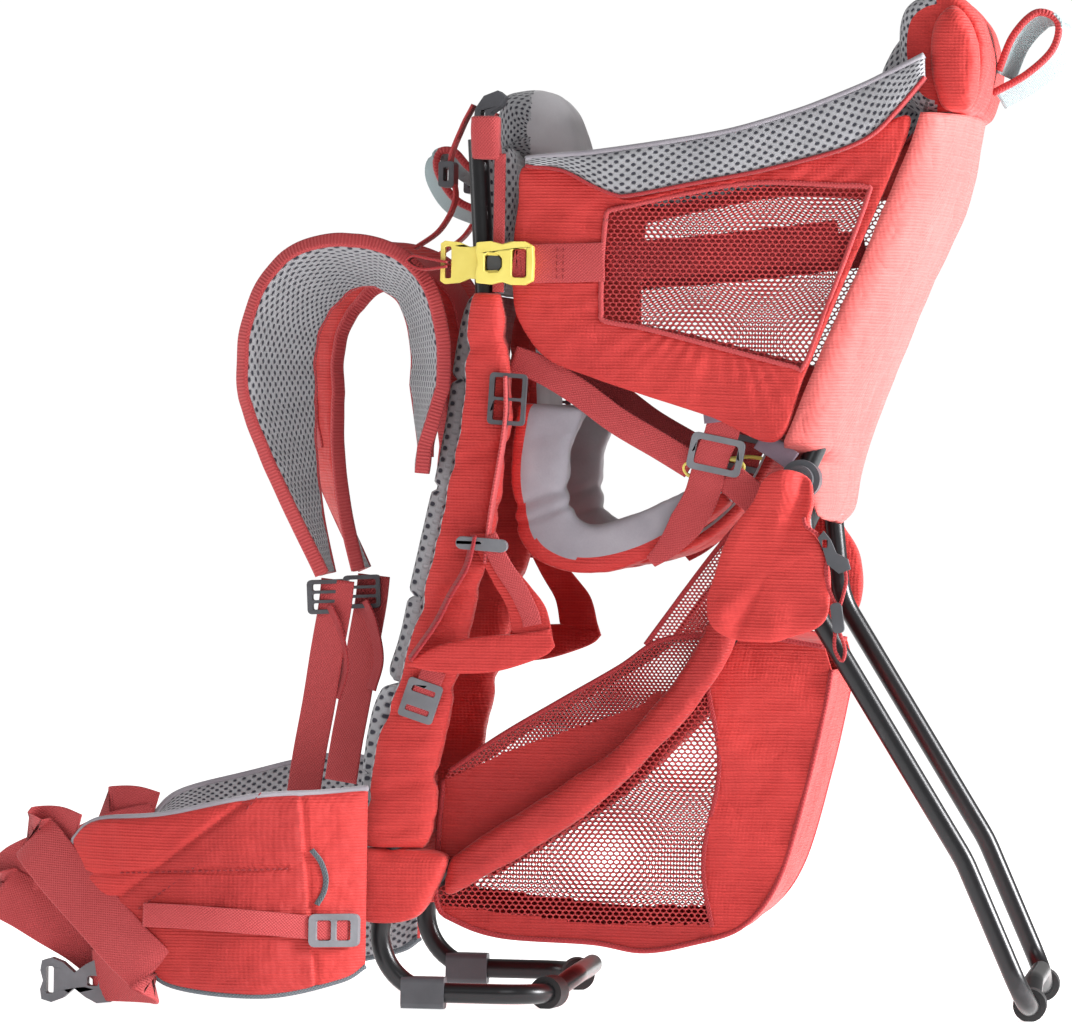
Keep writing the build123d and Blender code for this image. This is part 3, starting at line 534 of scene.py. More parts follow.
def tape(name, path, across, width, thick, materials, corner=5, closed=False, inner_side=0):
    """A flat strap: a rounded rectangle carried along a path. `across` points along its width. With
    `inner_side` 1 or -1, that face takes the second material."""
    path = np.asarray(path, float)
    rows = len(path)
    if closed:
        ahead = np.roll(path, -1, axis=0) - np.roll(path, 1, axis=0)
    else:
        ahead = np.gradient(path, axis=0)
    ahead /= np.linalg.norm(ahead, axis=1, keepdims=True)
    across = np.broadcast_to(np.asarray(across, float), path.shape).copy()
    across -= ahead * np.sum(across * ahead, axis=1, keepdims=True)
    across /= np.linalg.norm(across, axis=1, keepdims=True)
    up = np.cross(ahead, across)
    width = np.broadcast_to(np.asarray(width, float), rows)[:, None, None]
    thick = np.broadcast_to(np.asarray(thick, float), rows)[:, None, None]
    quarter = np.linspace(0, np.pi / 2, corner)
    arc = np.concatenate([quarter + k * np.pi / 2 for k in range(4)])
    sign_w = np.repeat([1, -1, -1, 1], corner)[None, :, None]
    sign_t = np.repeat([1, 1, -1, -1], corner)[None, :, None]
    round_off = np.minimum(width, thick) * 0.5
    w = sign_w * (width / 2 - round_off) + np.cos(arc)[None, :, None] * round_off
    t = sign_t * (thick / 2 - round_off) + np.sin(arc)[None, :, None] * round_off
    grid = path[:, None, :] + across[:, None, :] * w + up[:, None, :] * t
    columns = 4 * corner
    grid = np.concatenate([grid, grid[:, :1]], axis=1)
    wide = np.concatenate([w, w[:, :1]], axis=1)[..., 0]
    length = np.concatenate([[0], np.cumsum(np.linalg.norm(np.diff(path, axis=0), axis=1))])
    uv = np.stack([np.broadcast_to(length[:, None], wide.shape), wide + 0.05], axis=2)
    faces = quads(rows, columns + 1, 0, closed)
    column = np.tile(np.arange(columns), rows if closed else rows - 1)
    lower_half = (column >= 2 * corner - 1) & (column <= 4 * corner - 2)
    upper_half = (column <= 2 * corner - 2)
    inner = np.where(lower_half, 1, 0) if inner_side < 0 else np.where(upper_half, 1, 0) * (inner_side > 0)
    if not closed:
        ends = [np.arange(columns), (rows - 1) * (columns + 1) + np.arange(columns)[::-1]]
        faces = [list(f) for f in faces] + [list(e) for e in ends]
        inner = np.concatenate([inner, [0, 0]])
    piece = to_object(name, grid.reshape(-1, 3), faces, uv.reshape(-1, 2), materials, inner)
    weld(piece)
    return piece


def weld(piece, distance=0.00002):
    """Merges doubled points and turns all faces outwards."""
    work = bmesh.new()
    work.from_mesh(piece.data)
    bmesh.ops.remove_doubles(work, verts=work.verts, dist=distance)
    bmesh.ops.dissolve_degenerate(work, edges=work.edges, dist=distance / 4)
    bmesh.ops.recalc_face_normals(work, faces=work.faces)
    work.to_mesh(piece.data)
    work.free()


def swell(piece, cap, pressure=4.0, voxel=0.005, frames=20):
    """Blows the piece up like a cushion: an even skin of voxels is run as cloth with air pressure inside
    and no gravity, and no point may move further than `cap` metres. One subdivision smooths it."""
    skin = piece.modifiers.new("skin", "REMESH")
    skin.mode, skin.voxel_size = "VOXEL", voxel
    skin.use_smooth_shade = True
    apply_modifiers(piece)
    count = len(piece.data.vertices)
    start, end = np.empty(count * 3), np.empty(count * 3)
    piece.data.vertices.foreach_get("co", start)
    cloth = piece.modifiers.new("cloth", "CLOTH")
    cloth.settings.use_pressure = True
    cloth.settings.uniform_pressure_force = pressure
    cloth.settings.effector_weights.gravity = 0.0
    cloth.point_cache.frame_start, cloth.point_cache.frame_end = 1, frames
    for number in range(1, frames + 1):
        scene.frame_set(number)
    grown = piece.evaluated_get(bpy.context.evaluated_depsgraph_get()).to_mesh()
    grown.vertices.foreach_get("co", end)
    piece.modifiers.clear()
    scene.frame_set(1)
    move = (end - start).reshape(-1, 3)
    size = np.maximum(np.linalg.norm(move, axis=1, keepdims=True), 1e-9)
    move *= np.minimum(1.0, cap / size)
    piece.data.vertices.foreach_set("co", (start.reshape(-1, 3) + move).ravel())
    piece.data.update()
    fine = piece.modifiers.new("fine", "SUBSURF")
    fine.levels = fine.render_levels = 1


def apply_modifiers(piece):
    """Replaces the piece's mesh by the one its modifiers make, and removes the modifiers."""
    graph = bpy.context.evaluated_depsgraph_get()
    made = bpy.data.meshes.new_from_object(piece.evaluated_get(graph), depsgraph=graph)
    piece.modifiers.clear()
    piece.data = made


def place(piece, body, nodes=(), slot=None, fill=None, cap=None):
    """Swells the piece if it has a cap, rides it on its body and hides the frame nodes it stands for. The
    finish given as `slot` is not used."""
    if cap:
        swell(piece, cap)
    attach(piece, body)
    if nodes:
        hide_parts(*nodes)
    return piece


def once(node, sign):
    """One CAD node can stand for both sides. Only the left piece names it."""
    return [node] if sign > 0 else ()


CARRIER, PANEL = "carrier", "side_panel"
SIDES = (("left", 1), ("right", -1))              # +1 is the side towards +X
PANEL_SIDES = (("left", 1, PANEL), ("right", -1, CARRIER))

# %% [markdown]
# ## Floor
# A pale floor: one flat square that glows a little, so that no horizon line shows.

# %% Floor
floor_white = Finish("floor_white").set(Base_Color=(0.9, 0.9, 0.9), Roughness=0.7,
                                        Emission_Color=(1.0, 1.0, 1.0), Emission_Strength=0.85).material
reach = np.array([[-9.0, -9.0], [9.0, -9.0], [9.0, 9.0], [-9.0, 9.0]])
floor = to_object("floor", np.column_stack([reach, np.full(4, -0.0006)]), np.array([[0, 1, 2, 3]]), None,
                  [floor_white], smooth=False)

# %% [markdown]
# ## Hard parts carried over
# The tubes, hinge plates, feet and clips already have their right shapes in the frame, so they
# only need a finish. Each one is given its material here.

# %% Finishes for the frame's own parts
FINISH_OF = {
    "back_frame": tube_black, "seat_frame": tube_black, "kickstand": tube_black,
    "stand_eyes": nylon_dark, "hinge_brackets": nylon_dark, "base_feet": rubber_black,
    "base_clips": nylon_dark, "stand_feet": rubber_black, "knuckle_left": nylon_dark,
    "knuckle_right": nylon_dark, "cord_hook": nylon_grey,
}
for name, material in FINISH_OF.items():
    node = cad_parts[name]
    if not node.material_slots:
        node.data.materials.append(material)
    for held in node.material_slots:
        held.material = material
print("hard parts", len(FINISH_OF))

# %% [markdown]
# ## The column pads
# Each front rail wears a long padded column, red on its outside and mesh on the wearer's side. It
# is a closed loop of cloth round a foam core: a profile of rounded corners carried down the rail.
# Slow waves push its skin in and out, deeper where webbing cinches it.

# %% Column pads
COLUMN_FRONT = [(-32, 497), (-35, 472), (-37, 417), (-46, 368), (-59, 304), (-72, 254), (-80, 226),
                (-91, 198), (-99, 157), (-104, 112)]
COLUMN_REAR = [(-11, 497), (-4, 422), (-9, 380), (-13, 339), (-26, 283), (-42, 213), (-50, 171), (-51, 150),
               (-52, 130), (-57, 112)]


def tube_of_cloth(name, front, rear, x_near, x_far, materials, rows=120, puff=2.0, rumple=1.6, seed=1,
                  mesh_side=1, folds=(), mesh_from=-0.93):
    """A padded sleeve: at each height a rounded box from the front line to the rear line and from
    `x_near` to `x_far`, swollen by `puff` mm in the middle of each side and pushed along its normal
    by waves of `rumple` mm. Each fold (height, depth, width) presses a groove in."""
    a, b = curve(front, rows) * MM, curve(rear, rows) * MM
    columns = 72
    angle = np.linspace(0, TURN, columns, endpoint=False)[None, :]
    lobe = 4.6
    c = np.sign(np.cos(angle)) * np.abs(np.cos(angle)) ** (2 / lobe)
    s = np.sign(np.sin(angle)) * np.abs(np.sin(angle)) ** (2 / lobe)
    middle, reach = (a + b) / 2, (b - a) / 2
    half = abs(x_far - x_near) / 2 * MM
    end = np.linspace(0, 1, rows)[:, None]
    taper = np.sqrt(np.clip(1 - (1 - np.clip(np.minimum(end, 1 - end) / 0.03, 0, 1)) ** 2, 0.02, 1))
    plump = 1 + puff * MM / half * np.cos(2 * angle) ** 2 * 0.5
    x = (x_near + x_far) / 2 * MM + half * s * (0.6 + 0.4 * taper) * plump * 0.96
    y = middle[:, :1] + reach[:, :1] * c * (0.85 + 0.15 * taper)
    z = middle[:, 1:] + reach[:, 1:] * c
    grid = np.stack([np.broadcast_to(x, y.shape), y, np.broadcast_to(z, y.shape)], axis=2)
    normal = grid_normals(np.concatenate([grid[:, -1:], grid, grid[:, :1]], axis=1))[:, 1:-1]
    push = waves(grid * np.array([1, 1, 1.6]), 0.055, seed) * rumple * MM
    for height, depth, width in folds:
        slope = grid[..., 2] - 0.35 * grid[..., 1] + waves(grid, 0.08, seed + 5) * 0.003
        push = push - depth * MM * np.exp(-((slope - height * MM) / (width * MM)) ** 2)
    centre = grid.mean(axis=1, keepdims=True)
    outward = np.sign(np.sum(normal * (grid - centre), axis=2).mean())
    grid = grid + normal * outward * push[..., None]
    grid = np.concatenate([grid, grid[:, :1]], axis=1)
    uv = cloth_uv(grid)
    side_of = (c[0] + 1e-9)
    faces = quads(rows, columns + 1)
    column = np.tile(np.arange(columns), rows - 1)
    mesh_face = (side_of[column] < mesh_from).astype(int) * mesh_side
    caps = [list(np.arange(columns)), list((rows - 1) * (columns + 1) + np.arange(columns)[::-1])]
    piece = to_object(name, grid.reshape(-1, 3), [list(f) for f in faces] + caps, uv.reshape(-1, 2),
                      materials, np.concatenate([mesh_face, [0, 0]]))
    weld(piece)
    return piece


for hand, sign in SIDES:
    column = tube_of_cloth(f"column_pad_{hand}", COLUMN_FRONT, COLUMN_REAR, sign * 113, sign * 138,
                           [ripstop_red, mesh_grey], seed=3 + sign, rumple=1.5,
                           folds=[(470, 1.8, 5), (392, 2.4, 5), (352, 1.6, 4), (300, 2.2, 6), (236, 3.0, 6),
                                  (180, 2.6, 5), (150, 1.6, 4)])
    place(column, CARRIER, [f"column_{hand}"], "fabric_red", fill=0.6)
print("columns")

# %% [markdown]
# ## The wearer's back panel and lumbar pad
# Between the columns runs one long cushion of spacer mesh over foam. Its face is crowned and has
# two sewn channels down it. The lumbar pad below is thicker and wider.

# %% Back panel and lumbar pad
PAD_FRONT = [(-37, 497), (-44, 472), (-51, 417), (-59, 368), (-73, 304), (-84, 254), (-93, 226)]
PAD_REAR = [(-28, 497), (-34, 472), (-38, 417), (-47, 368), (-60, 304), (-70, 254), (-77, 226)]


def panel_pad(name, front, rear, half_top, half_low, materials, channels=(), seams=(), rows=110, columns=90,
              puff=3.0, seed=1, back_material=0):
    """A foam panel as wide as the back: its middle surface lies halfway between two side-view lines and
    runs from -half to +half. The cover rises by `puff` mm between its edges, and dips at each sewn
    channel (a place across the width) and at each level seam (a share of the height)."""
    a, b = curve(front, rows), curve(rear, rows)
    middle, thick = (a + b) / 2, np.linalg.norm(b - a, axis=1) * MM
    half = np.linspace(half_top, half_low, rows)
    grid = between(side(middle, -half), side(middle, half), columns)
    across = grid[..., 0] / MM
    down = np.linspace(0, 1, rows)[:, None]
    rise = crown(rows, columns, 0.10) * puff * MM
    dip = sum((np.exp(-((np.abs(across) - place) / 3.2) ** 2) for place in channels), np.zeros_like(across))
    dip = dip + sum((np.exp(-((down - share) * 400 / 3.2) ** 2) for share in seams), np.zeros_like(across))
    dip = np.minimum(dip, 1.0) * puff * 1.3 * MM
    edge = crown(rows, columns, 0.035)
    ripple = waves(grid, 0.07, seed) * 0.0009 * edge
    core = thick[:, None] / 2 * (0.25 + 0.75 * edge)
    return shell(name, grid, core + rise * 0.8 - dip + ripple, core * 1.0, materials,
                 back_material=back_material)


back_cushion = panel_pad("back_cushion", PAD_FRONT, PAD_REAR, 97, 97, [mesh_grey, ripstop_red],
                         channels=(30,), seams=(0.22, 0.5, 0.78), puff=3.2, seed=8)
place(back_cushion, CARRIER, ["back_pad"], "spacer_mesh", fill=0.7)
stiff_back = panel_pad("stiff_back", PAD_REAR, [(y + 4, z) for y, z in PAD_REAR], 97, 97, [ripstop_dark],
                       rows=50, columns=40, puff=0.3)
place(stiff_back, CARRIER, ["back_panel"], "fabric_red", fill=0.9)
LUMBAR_FRONT = [(-92, 223), (-101, 198), (-106, 157), (-107, 113), (-104, 82), (-96, 77)]
LUMBAR_REAR = [(-77, 223), (-79, 190), (-80, 150), (-81, 115), (-82, 88), (-84, 78)]
lumbar = panel_pad("lumbar_cushion", LUMBAR_FRONT, LUMBAR_REAR, 111, 107, [mesh_grey, ripstop_red],
                   channels=(38,), seams=(0.42,), puff=3.0, seed=12, back_material=1)
place(lumbar, CARRIER, ["lumbar_pad"], "spacer_mesh", fill=0.8)

# %% [markdown]
# ## Bolsters
# The chin pad and the headrest are stuffed rolls across the carrier. Each is a closed outline in
# the side view, carried across and drawn in towards its ends, like a bread roll.

# %% Bolsters


def bolster(name, line, x_low, x_high, materials, around=96, along=70, round_end=0.16, power=2.4, rumple=1.0,
            seed=1, smoothing=True, bulge=0.0, end_scale=0.25, inner_face=None):
    """A closed side-view line carried from `x_low` to `x_high`: at a share t of the way the line is
    scaled about its middle by (1 - e^p)^(1/p), where e grows from 0 to 1 over the last stretch."""
    loop = (curve(line, around, closed=True) if smoothing else np.asarray(line, float)) * MM
    middle = loop.mean(axis=0)
    t = 0.5 - 0.5 * np.cos(np.linspace(0, np.pi, along))
    e = np.clip(1 - np.minimum(t, 1 - t) / round_end, 0, 1)
    scale = end_scale + (1 - end_scale) * (1 - e**power) ** (1 / power)
    scale = scale * (1 + bulge * np.sin(np.pi * t))
    flat = middle + (loop[:, None, :] - middle) * scale[None, :, None]
    x = np.broadcast_to((x_low + (x_high - x_low) * t)[None, :] * MM, flat.shape[:2])
    grid = np.concatenate([x[..., None], flat], axis=2)
    wrapped = np.concatenate([grid[-1:], grid, grid[:1]])
    normal = grid_normals(wrapped)[1:-1]
    outward = np.sign(np.sum(normal[..., 1:] * (flat - middle)))
    soft = (scale**2)[None, :]
    grid = grid + normal * outward * (waves(grid, 0.06, seed) * rumple * MM * soft)[..., None]
    uv = cloth_uv(grid)
    faces = [list(f) for f in quads(around, along, 0, True)]
    count = around * along
    points = grid.reshape(-1, 3)
    ends = [(np.arange(around) * along)[::-1], np.arange(around) * along + along - 1]
    extra = np.array([grid[:, 0].mean(axis=0), grid[:, -1].mean(axis=0)])
    for number, end in enumerate(ends):
        fan = [[int(end[k]), int(end[(k + 1) % around]), count + number] for k in range(around)]
        faces += fan
    which = np.zeros(len(faces), int)
    if inner_face is not None:
        which[:] = inner_face(np.array([np.mean(np.vstack([points, extra])[f], axis=0) for f in faces]))
        which[-2 * around:] = np.repeat(inner_face(extra), around)
    uvs = np.concatenate([uv.reshape(-1, 2), uv[:2, 0]])
    piece = to_object(name, np.vstack([points, extra]), faces, uvs, materials, which)
    weld(piece)
    return piece


CHIN_LINE = [(-25, 600), (-26, 628), (-19, 640), (5, 642), (22, 630), (33, 603), (32, 588), (20, 586),
             (4, 590), (-10, 594)]
chin = bolster("chin_cushion", CHIN_LINE, -56, 56, [lining_pale, mesh_grey], rumple=1.2, seed=21,
               round_end=0.22, inner_face=lambda middle: (middle[:, 1] < -0.002).astype(int))
place(chin, CARRIER, ["chin_pad"], "lining_grey", fill=0.85)
HEAD_LINE = [(277, 629), (264, 645), (259, 672), (263, 697), (279, 709), (300, 708), (316, 690), (321, 660),
             (313, 630), (295, 627)]
headrest = bolster("headrest_cushion", HEAD_LINE, -112, 112, [ripstop_red, mesh_grey], rumple=1.4, seed=22,
                   round_end=0.06, end_scale=0.8, inner_face=lambda middle: (middle[:,
                       1] < 0.286).astype(int))
place(headrest, CARRIER, ["headrest"], "fabric_red", fill=0.8)
EAR_LEFT = [(292, 628), (285, 645), (282, 664), (284, 688), (297, 701), (310, 690), (317, 662), (312, 629)]
EAR_RIGHT = [(268, 629), (252, 640), (238, 646), (232, 660), (240, 680), (254, 698), (270, 709), (292, 708),
             (312, 694), (319, 660), (311, 630), (290, 628)]
ear_left = bolster("headrest_cheek_left", EAR_LEFT, 106, 131.5, [ripstop_red], rumple=0.8, seed=23, along=30,
                   round_end=0.45, end_scale=0.35)
place(ear_left, CARRIER, ["headrest_ear_left"], "fabric_red", fill=0.8, cap=0.0025)
ear_right = bolster("headrest_cheek_right", EAR_RIGHT, -131.5, -106, [ripstop_red, mesh_grey], rumple=0.8,
                    seed=24, along=30, round_end=0.45, end_scale=0.35,
                    inner_face=lambda middle: ((middle[:, 0] > -0.124) & (middle[:, 1] < 0.29)).astype(int))
place(ear_right, CARRIER, ["headrest_ear_right"], "fabric_red", fill=0.8)
print("bolsters", len(made_pieces))

# %% [markdown]
# ## The front wall
# Above the back panel a padded wall stands between the wearer and the child. Its edges are closed
# with a bound seam, red at the front and dark at the rear.

# %% Front wall
WALL_FRONT = [(-29, 498), (-35, 530), (-38, 575), (-37, 590), (-30, 598)]
WALL_REAR = [(-13, 498), (-8, 530), (-5, 563), (-7, 590), (-10, 598)]


def block_pad(name, front, rear, half, materials, rows=70, columns=56, deep=16, soft=1.2, seed=1, seams=()):
    """A padded slab whose side edges show: at each height a closed loop round the slab, a rounded
    rectangle 2 x half wide and as deep as the two side-view lines are apart."""
    a, b = curve(front, rows) * MM, curve(rear, rows) * MM
    per = columns
    wide = np.linspace(-1, 1, per)
    small = np.linspace(-1, 1, deep)[1:-1]
    u = np.concatenate([wide, np.ones(len(small)), wide[::-1], -np.ones(len(small))])
    v = np.concatenate([-np.ones(per), small, np.ones(per), -small])
    corner = np.clip((np.abs(u) * half - (half - 6)) / 6, 0, 1)
    v_soft = v * np.sqrt(1 - 0.35 * corner**2)
    middle, reach = (a + b) / 2, (b - a) / 2
    y = middle[:, :1] + reach[:, :1] * v_soft
    z = middle[:, 1:] + reach[:, 1:] * v_soft
    grid = np.stack([np.broadcast_to(u * half * MM, y.shape), y, z], axis=2)
    wrapped = np.concatenate([grid[:, -1:], grid, grid[:, :1]], axis=1)
    normal = grid_normals(wrapped)[:, 1:-1]
    centre = grid.mean(axis=1, keepdims=True)
    outward = np.sign(np.sum(normal * (grid - centre), axis=2).mean())
    push = waves(grid, 0.07, seed) * soft * MM
    down = np.linspace(0, 1, rows)[:, None]
    for share in seams:
        push = push - 0.0016 * np.exp(-((down - share) / 0.02) ** 2)
    grid = grid + normal * outward * push[..., None]
    grid = np.concatenate([grid, grid[:, :1]], axis=1)
    loop = grid.shape[1]
    faces = [list(f) for f in quads(rows, loop)]
    caps = [list(np.arange(loop - 1)), list((rows - 1) * loop + np.arange(loop - 1)[::-1])]
    column = np.tile(np.arange(loop - 1), rows - 1)
    which = np.where(column < per, 1, 0) if len(materials) > 1 else np.zeros(len(column))
    piece = to_object(name, grid.reshape(-1, 3), faces + caps, cloth_uv(grid).reshape(-1, 2), materials,
                      np.concatenate([which, [0, 0]]))
    weld(piece)
    return piece


wall = block_pad("front_wall_pad", WALL_FRONT, WALL_REAR, 108.5, [mesh_grey, ripstop_red], seams=(0.37,),
                 seed=31)
place(wall, CARRIER, ["front_wall"], "spacer_mesh", fill=0.7)

# %% [markdown]
# ## The rear shell
# Behind the child the shell wraps round the seat tube. In plan it is a thick U: a rounded back, and
# a shallow hollow towards the child. It is drawn level by level and closed at top and bottom.

# %% Rear shell
SHELL_FRONT = [(208, 347), (199, 366), (188, 384), (186, 396), (192, 412), (222, 486), (264, 588), (277, 626)]
SHELL_REAR = [(217, 341), (226, 351), (231, 376), (241, 412), (264, 475), (297, 553), (307, 588), (313, 626)]
SHELL_WIDE = [(340, 104), (384, 104), (394, 131.5), (630, 131.5)]


def wrapped_shell(name, front, rear, half, materials, rows=90, across=64, hollow=16, power=2.3, seed=1):
    """A wall bent round the child's back. `half` lists heights with the half width there. At each
    level the back edge is y = front + depth * (1 - |x/half|^p)^(1/p), and the child's side is
    y = front + hollow * (1 - (x/half)^2), so the two meet at the sides."""
    a, b = curve(front, rows) * MM, curve(rear, rows) * MM
    turn_ = np.linspace(-np.pi / 2, np.pi / 2, across)
    back_x = np.sign(np.sin(turn_)) * np.abs(np.sin(turn_)) ** (2 / power)
    back_y = np.cos(turn_) ** (2 / power)
    hollow_x = np.linspace(1, -1, across)[1:-1]
    wide = np.interp((a[:, 1] + b[:, 1]) / 2 / MM, [h[0] for h in half], [h[1] for h in half])
    x = np.concatenate([back_x, hollow_x])[None, :] * wide[:, None] * MM
    reach = np.concatenate([back_y, np.zeros(across - 2)])
    sink = np.concatenate([np.zeros(across), 1 - hollow_x**2]) * hollow * MM
    share_y = reach[None, :]
    y = a[:, :1] + (b[:, :1] - a[:, :1]) * share_y + sink[None, :]
    z = a[:, 1:] + (b[:, 1:] - a[:, 1:]) * share_y
    y = y - sink[None, :] * np.clip((z / MM - 520) / 90, 0, 1)
    grid = np.stack([np.broadcast_to(x, y.shape), y, z], axis=2)
    normal = grid_normals(np.concatenate([grid[:, -1:], grid, grid[:, :1]], axis=1))[:, 1:-1]
    centre = grid.mean(axis=1, keepdims=True)
    outward = np.sign(np.sum(normal * (grid - centre), axis=2).mean())
    grid = grid + normal * outward * (waves(grid * np.array([1, 1, 0.7]), 0.09, seed) * 0.0016)[..., None]
    grid = np.concatenate([grid, grid[:, :1]], axis=1)
    loop = grid.shape[1]
    faces = [list(f) for f in quads(rows, loop)]
    caps = [list(np.arange(loop - 1)), list((rows - 1) * loop + np.arange(loop - 1)[::-1])]
    column = np.tile(np.arange(loop - 1), rows - 1)
    which = np.where(column >= across - 1, 1, 0)
    piece = to_object(name, grid.reshape(-1, 3), faces + caps, cloth_uv(grid).reshape(-1, 2), materials,
                      np.concatenate([which, [0, 0]]))
    weld(piece)
    return piece


# The rear shell wears the paler ripstop, which is painted highlight.
back_shell = wrapped_shell("rear_shell_pad", SHELL_FRONT, SHELL_REAR, SHELL_WIDE, [ripstop_painted_glare, mesh_grey],
                           rows=130, seed=41)
place(back_shell, CARRIER, ["rear_shell"], "fabric_red", fill=0.6)
print("rear shell")

# %% [markdown]
# ## Straps and webbing
# Every flat band is the same idea: a rounded rectangle swept along a smooth path, with its width
# pointing the way the cloth faces. The padded shoulder straps only add changing width and a roll.

# %% Shoulder straps
STRAP_ROLL = 40
STRAP_LINE = [(-70, 372), (-66.5, 420), (-66, 462), (-77, 499), (-101, 517), (-130, 518), (-155, 503),
              (-170, 476), (-174, 440), (-167, 395), (-153, 345), (-137, 300)]
for hand, sign in SIDES:
    line = curve(STRAP_LINE, 150)
    path = side(line, sign * 92)
    ahead = np.gradient(path, axis=0)
    ahead /= np.linalg.norm(ahead, axis=1, keepdims=True)
    share = np.linspace(0, 1, len(path))
    arch = np.clip(np.minimum((share - 0.28) / 0.22, (1 - share) / 0.3), 0, 1)
    rear_limb = np.clip(share / 0.14, 0.3, 1) * 0.6
    roll = np.radians(STRAP_ROLL) * np.maximum(arch, rear_limb * (share < 0.5)) * sign
    level = np.array([sign, 0.0, 0.0])
    rise = np.cross(ahead, level)
    across = level * np.cos(roll)[:, None] + rise * np.sin(roll)[:, None]
    foot = np.clip((share - 0.7) / 0.3, 0, 1)
    width = (66 - 29 * foot) * (1 + 0.012 * np.sin(share * 95) * (1 - foot)) * MM
    thick = (12.5 - 3.5 * foot - 2 * (1 - np.minimum(1, share / 0.3))) * (1 + 0.08 * np.sin(share * 95)) * MM
    strap = tape(f"strap_pad_{hand}", path, across, width, thick, [ripstop_red, mesh_grey], corner=9,
                 inner_side=-sign)
    place(strap, CARRIER, [f"shoulder_strap_{hand}"], "fabric_red", fill=0.5)
    for edge in (-1, 1):
        line3 = path + across * (edge * (width / 2 - 0.001))[:, None]
        piping = tape(f"strap_binding_{hand}_{'out' if edge > 0 else 'in'}", line3, across, 0.0042, 0.0105,
                      [web_red], corner=4)
        place(piping, CARRIER, (), "webbing_red")
    web_line = path[4:118] + np.cross(ahead, across)[4:118] * (sign * (thick[4:118] / 2 + 0.0006))[:, None]
    ribbon_ = tape(f"strap_ribbon_{hand}", web_line, across[4:118], 0.024, 0.0018, [web_red], corner=3)
    place(ribbon_, CARRIER, (), "webbing_red")
print("shoulder straps")

# %% Webbing runs
LEVEL = (1.0, 0.0, 0.0)


def run(name, points, x, width, thick, material, body=CARRIER, nodes=(), slot="webbing_red", samples=60,
        closed=False, across=LEVEL):
    """A webbing run drawn in the side view at one `x`, all in millimetres."""
    line = curve(points, samples, closed)
    piece = tape(name, side(line, x), across, width * MM, thick * MM, [material], corner=4, closed=closed)
    return place(piece, body, nodes, slot)


HANDLE_REAR = [(328, 657), (338, 682), (354, 698), (369, 692), (366, 673), (348, 655), (324, 641)]
HANDLE_FRONT = [(-41.5, 578), (-55, 585), (-66, 596), (-77, 595), (-77, 581), (-64, 562), (-41.5, 552)]
REAR_TILT, FRONT_TILT = (0.86, -0.38, 0.33), (0.88, 0.38, 0.28)
run("grab_handle_rear", HANDLE_REAR, 0, 25, 4.2, web_teal, nodes=["rear_handle"], slot="webbing_grey",
    across=REAR_TILT)
run("grab_handle_front", HANDLE_FRONT, 0, 25, 4.2, web_teal, nodes=["front_handle"], slot="webbing_grey",
    across=FRONT_TILT)
for name, line, tilt in (("rear", HANDLE_REAR, REAR_TILT), ("front", HANDLE_FRONT, FRONT_TILT)):
    edge_line = side(curve(line, 60), 0) + np.array(tilt) * 0.0118
    edge_band = tape(f"handle_edge_{name}", edge_line, tilt, 0.0042, 0.0056, [web_red], corner=4)
    place(edge_band, CARRIER, (), "webbing_red")
LIFT_LINE = [(-80, 529), (-62, 543), (-52, 565), (-56, 590), (-48, 614), (-40, 630)]
for hand, sign in SIDES:
    x = sign * 72
    run(f"load_lifter_{hand}", LIFT_LINE, x, 20, 2.2, web_red, nodes=once("load_lifters", sign))
    run(f"strap_web_{hand}", [(-128, 296), (-130, 276), (-135, 245), (-140, 210), (-146, 175), (-150, 146)],
        sign * 94, 25, 2.2, web_red, nodes=once("strap_webbings", sign), across=(0.25, 1, 0.1))
    run(f"strap_web_tail_{hand}", [(-137, 276), (-131, 262), (-126, 236), (-131, 214)], sign * 91, 25, 1.8,
        web_deep, across=(0.8, 0.6, 0.0))
    run(f"stirrup_web_{hand}", [(-6, 440), (-6, 407), (-15, 345), (-18, 310)], sign * 142, 21, 2.2, web_red,
        nodes=once("stirrup_webbings", sign))
for hand, sign in SIDES:
    cover = tube_of_cloth(f"rail_cover_{hand}", [(-35, 620), (-35, 605), (-34, 590)],
                          [(-15, 620), (-15, 605), (-14, 590)],
                          sign * 115.5, sign * 135, [web_red], rows=30, puff=0.6, rumple=0.5, seed=51,
                          mesh_side=0)
    place(cover, CARRIER, (), "webbing_red", fill=0.3)
    run(f"rail_binding_{hand}", [(-14, 594), (-14, 550), (-14, 498)], sign * 131, 8, 3.0, web_red,
        across=(0, 1, 0))
print("webbing", len(made_pieces))

# %% [markdown]
# ## Stirrups
# Each foot rests in a lens of padded cloth. A wide strip rises from its rear end to a bar lock, with
# webbing over it, and a thinner one closes the triangle at the front.

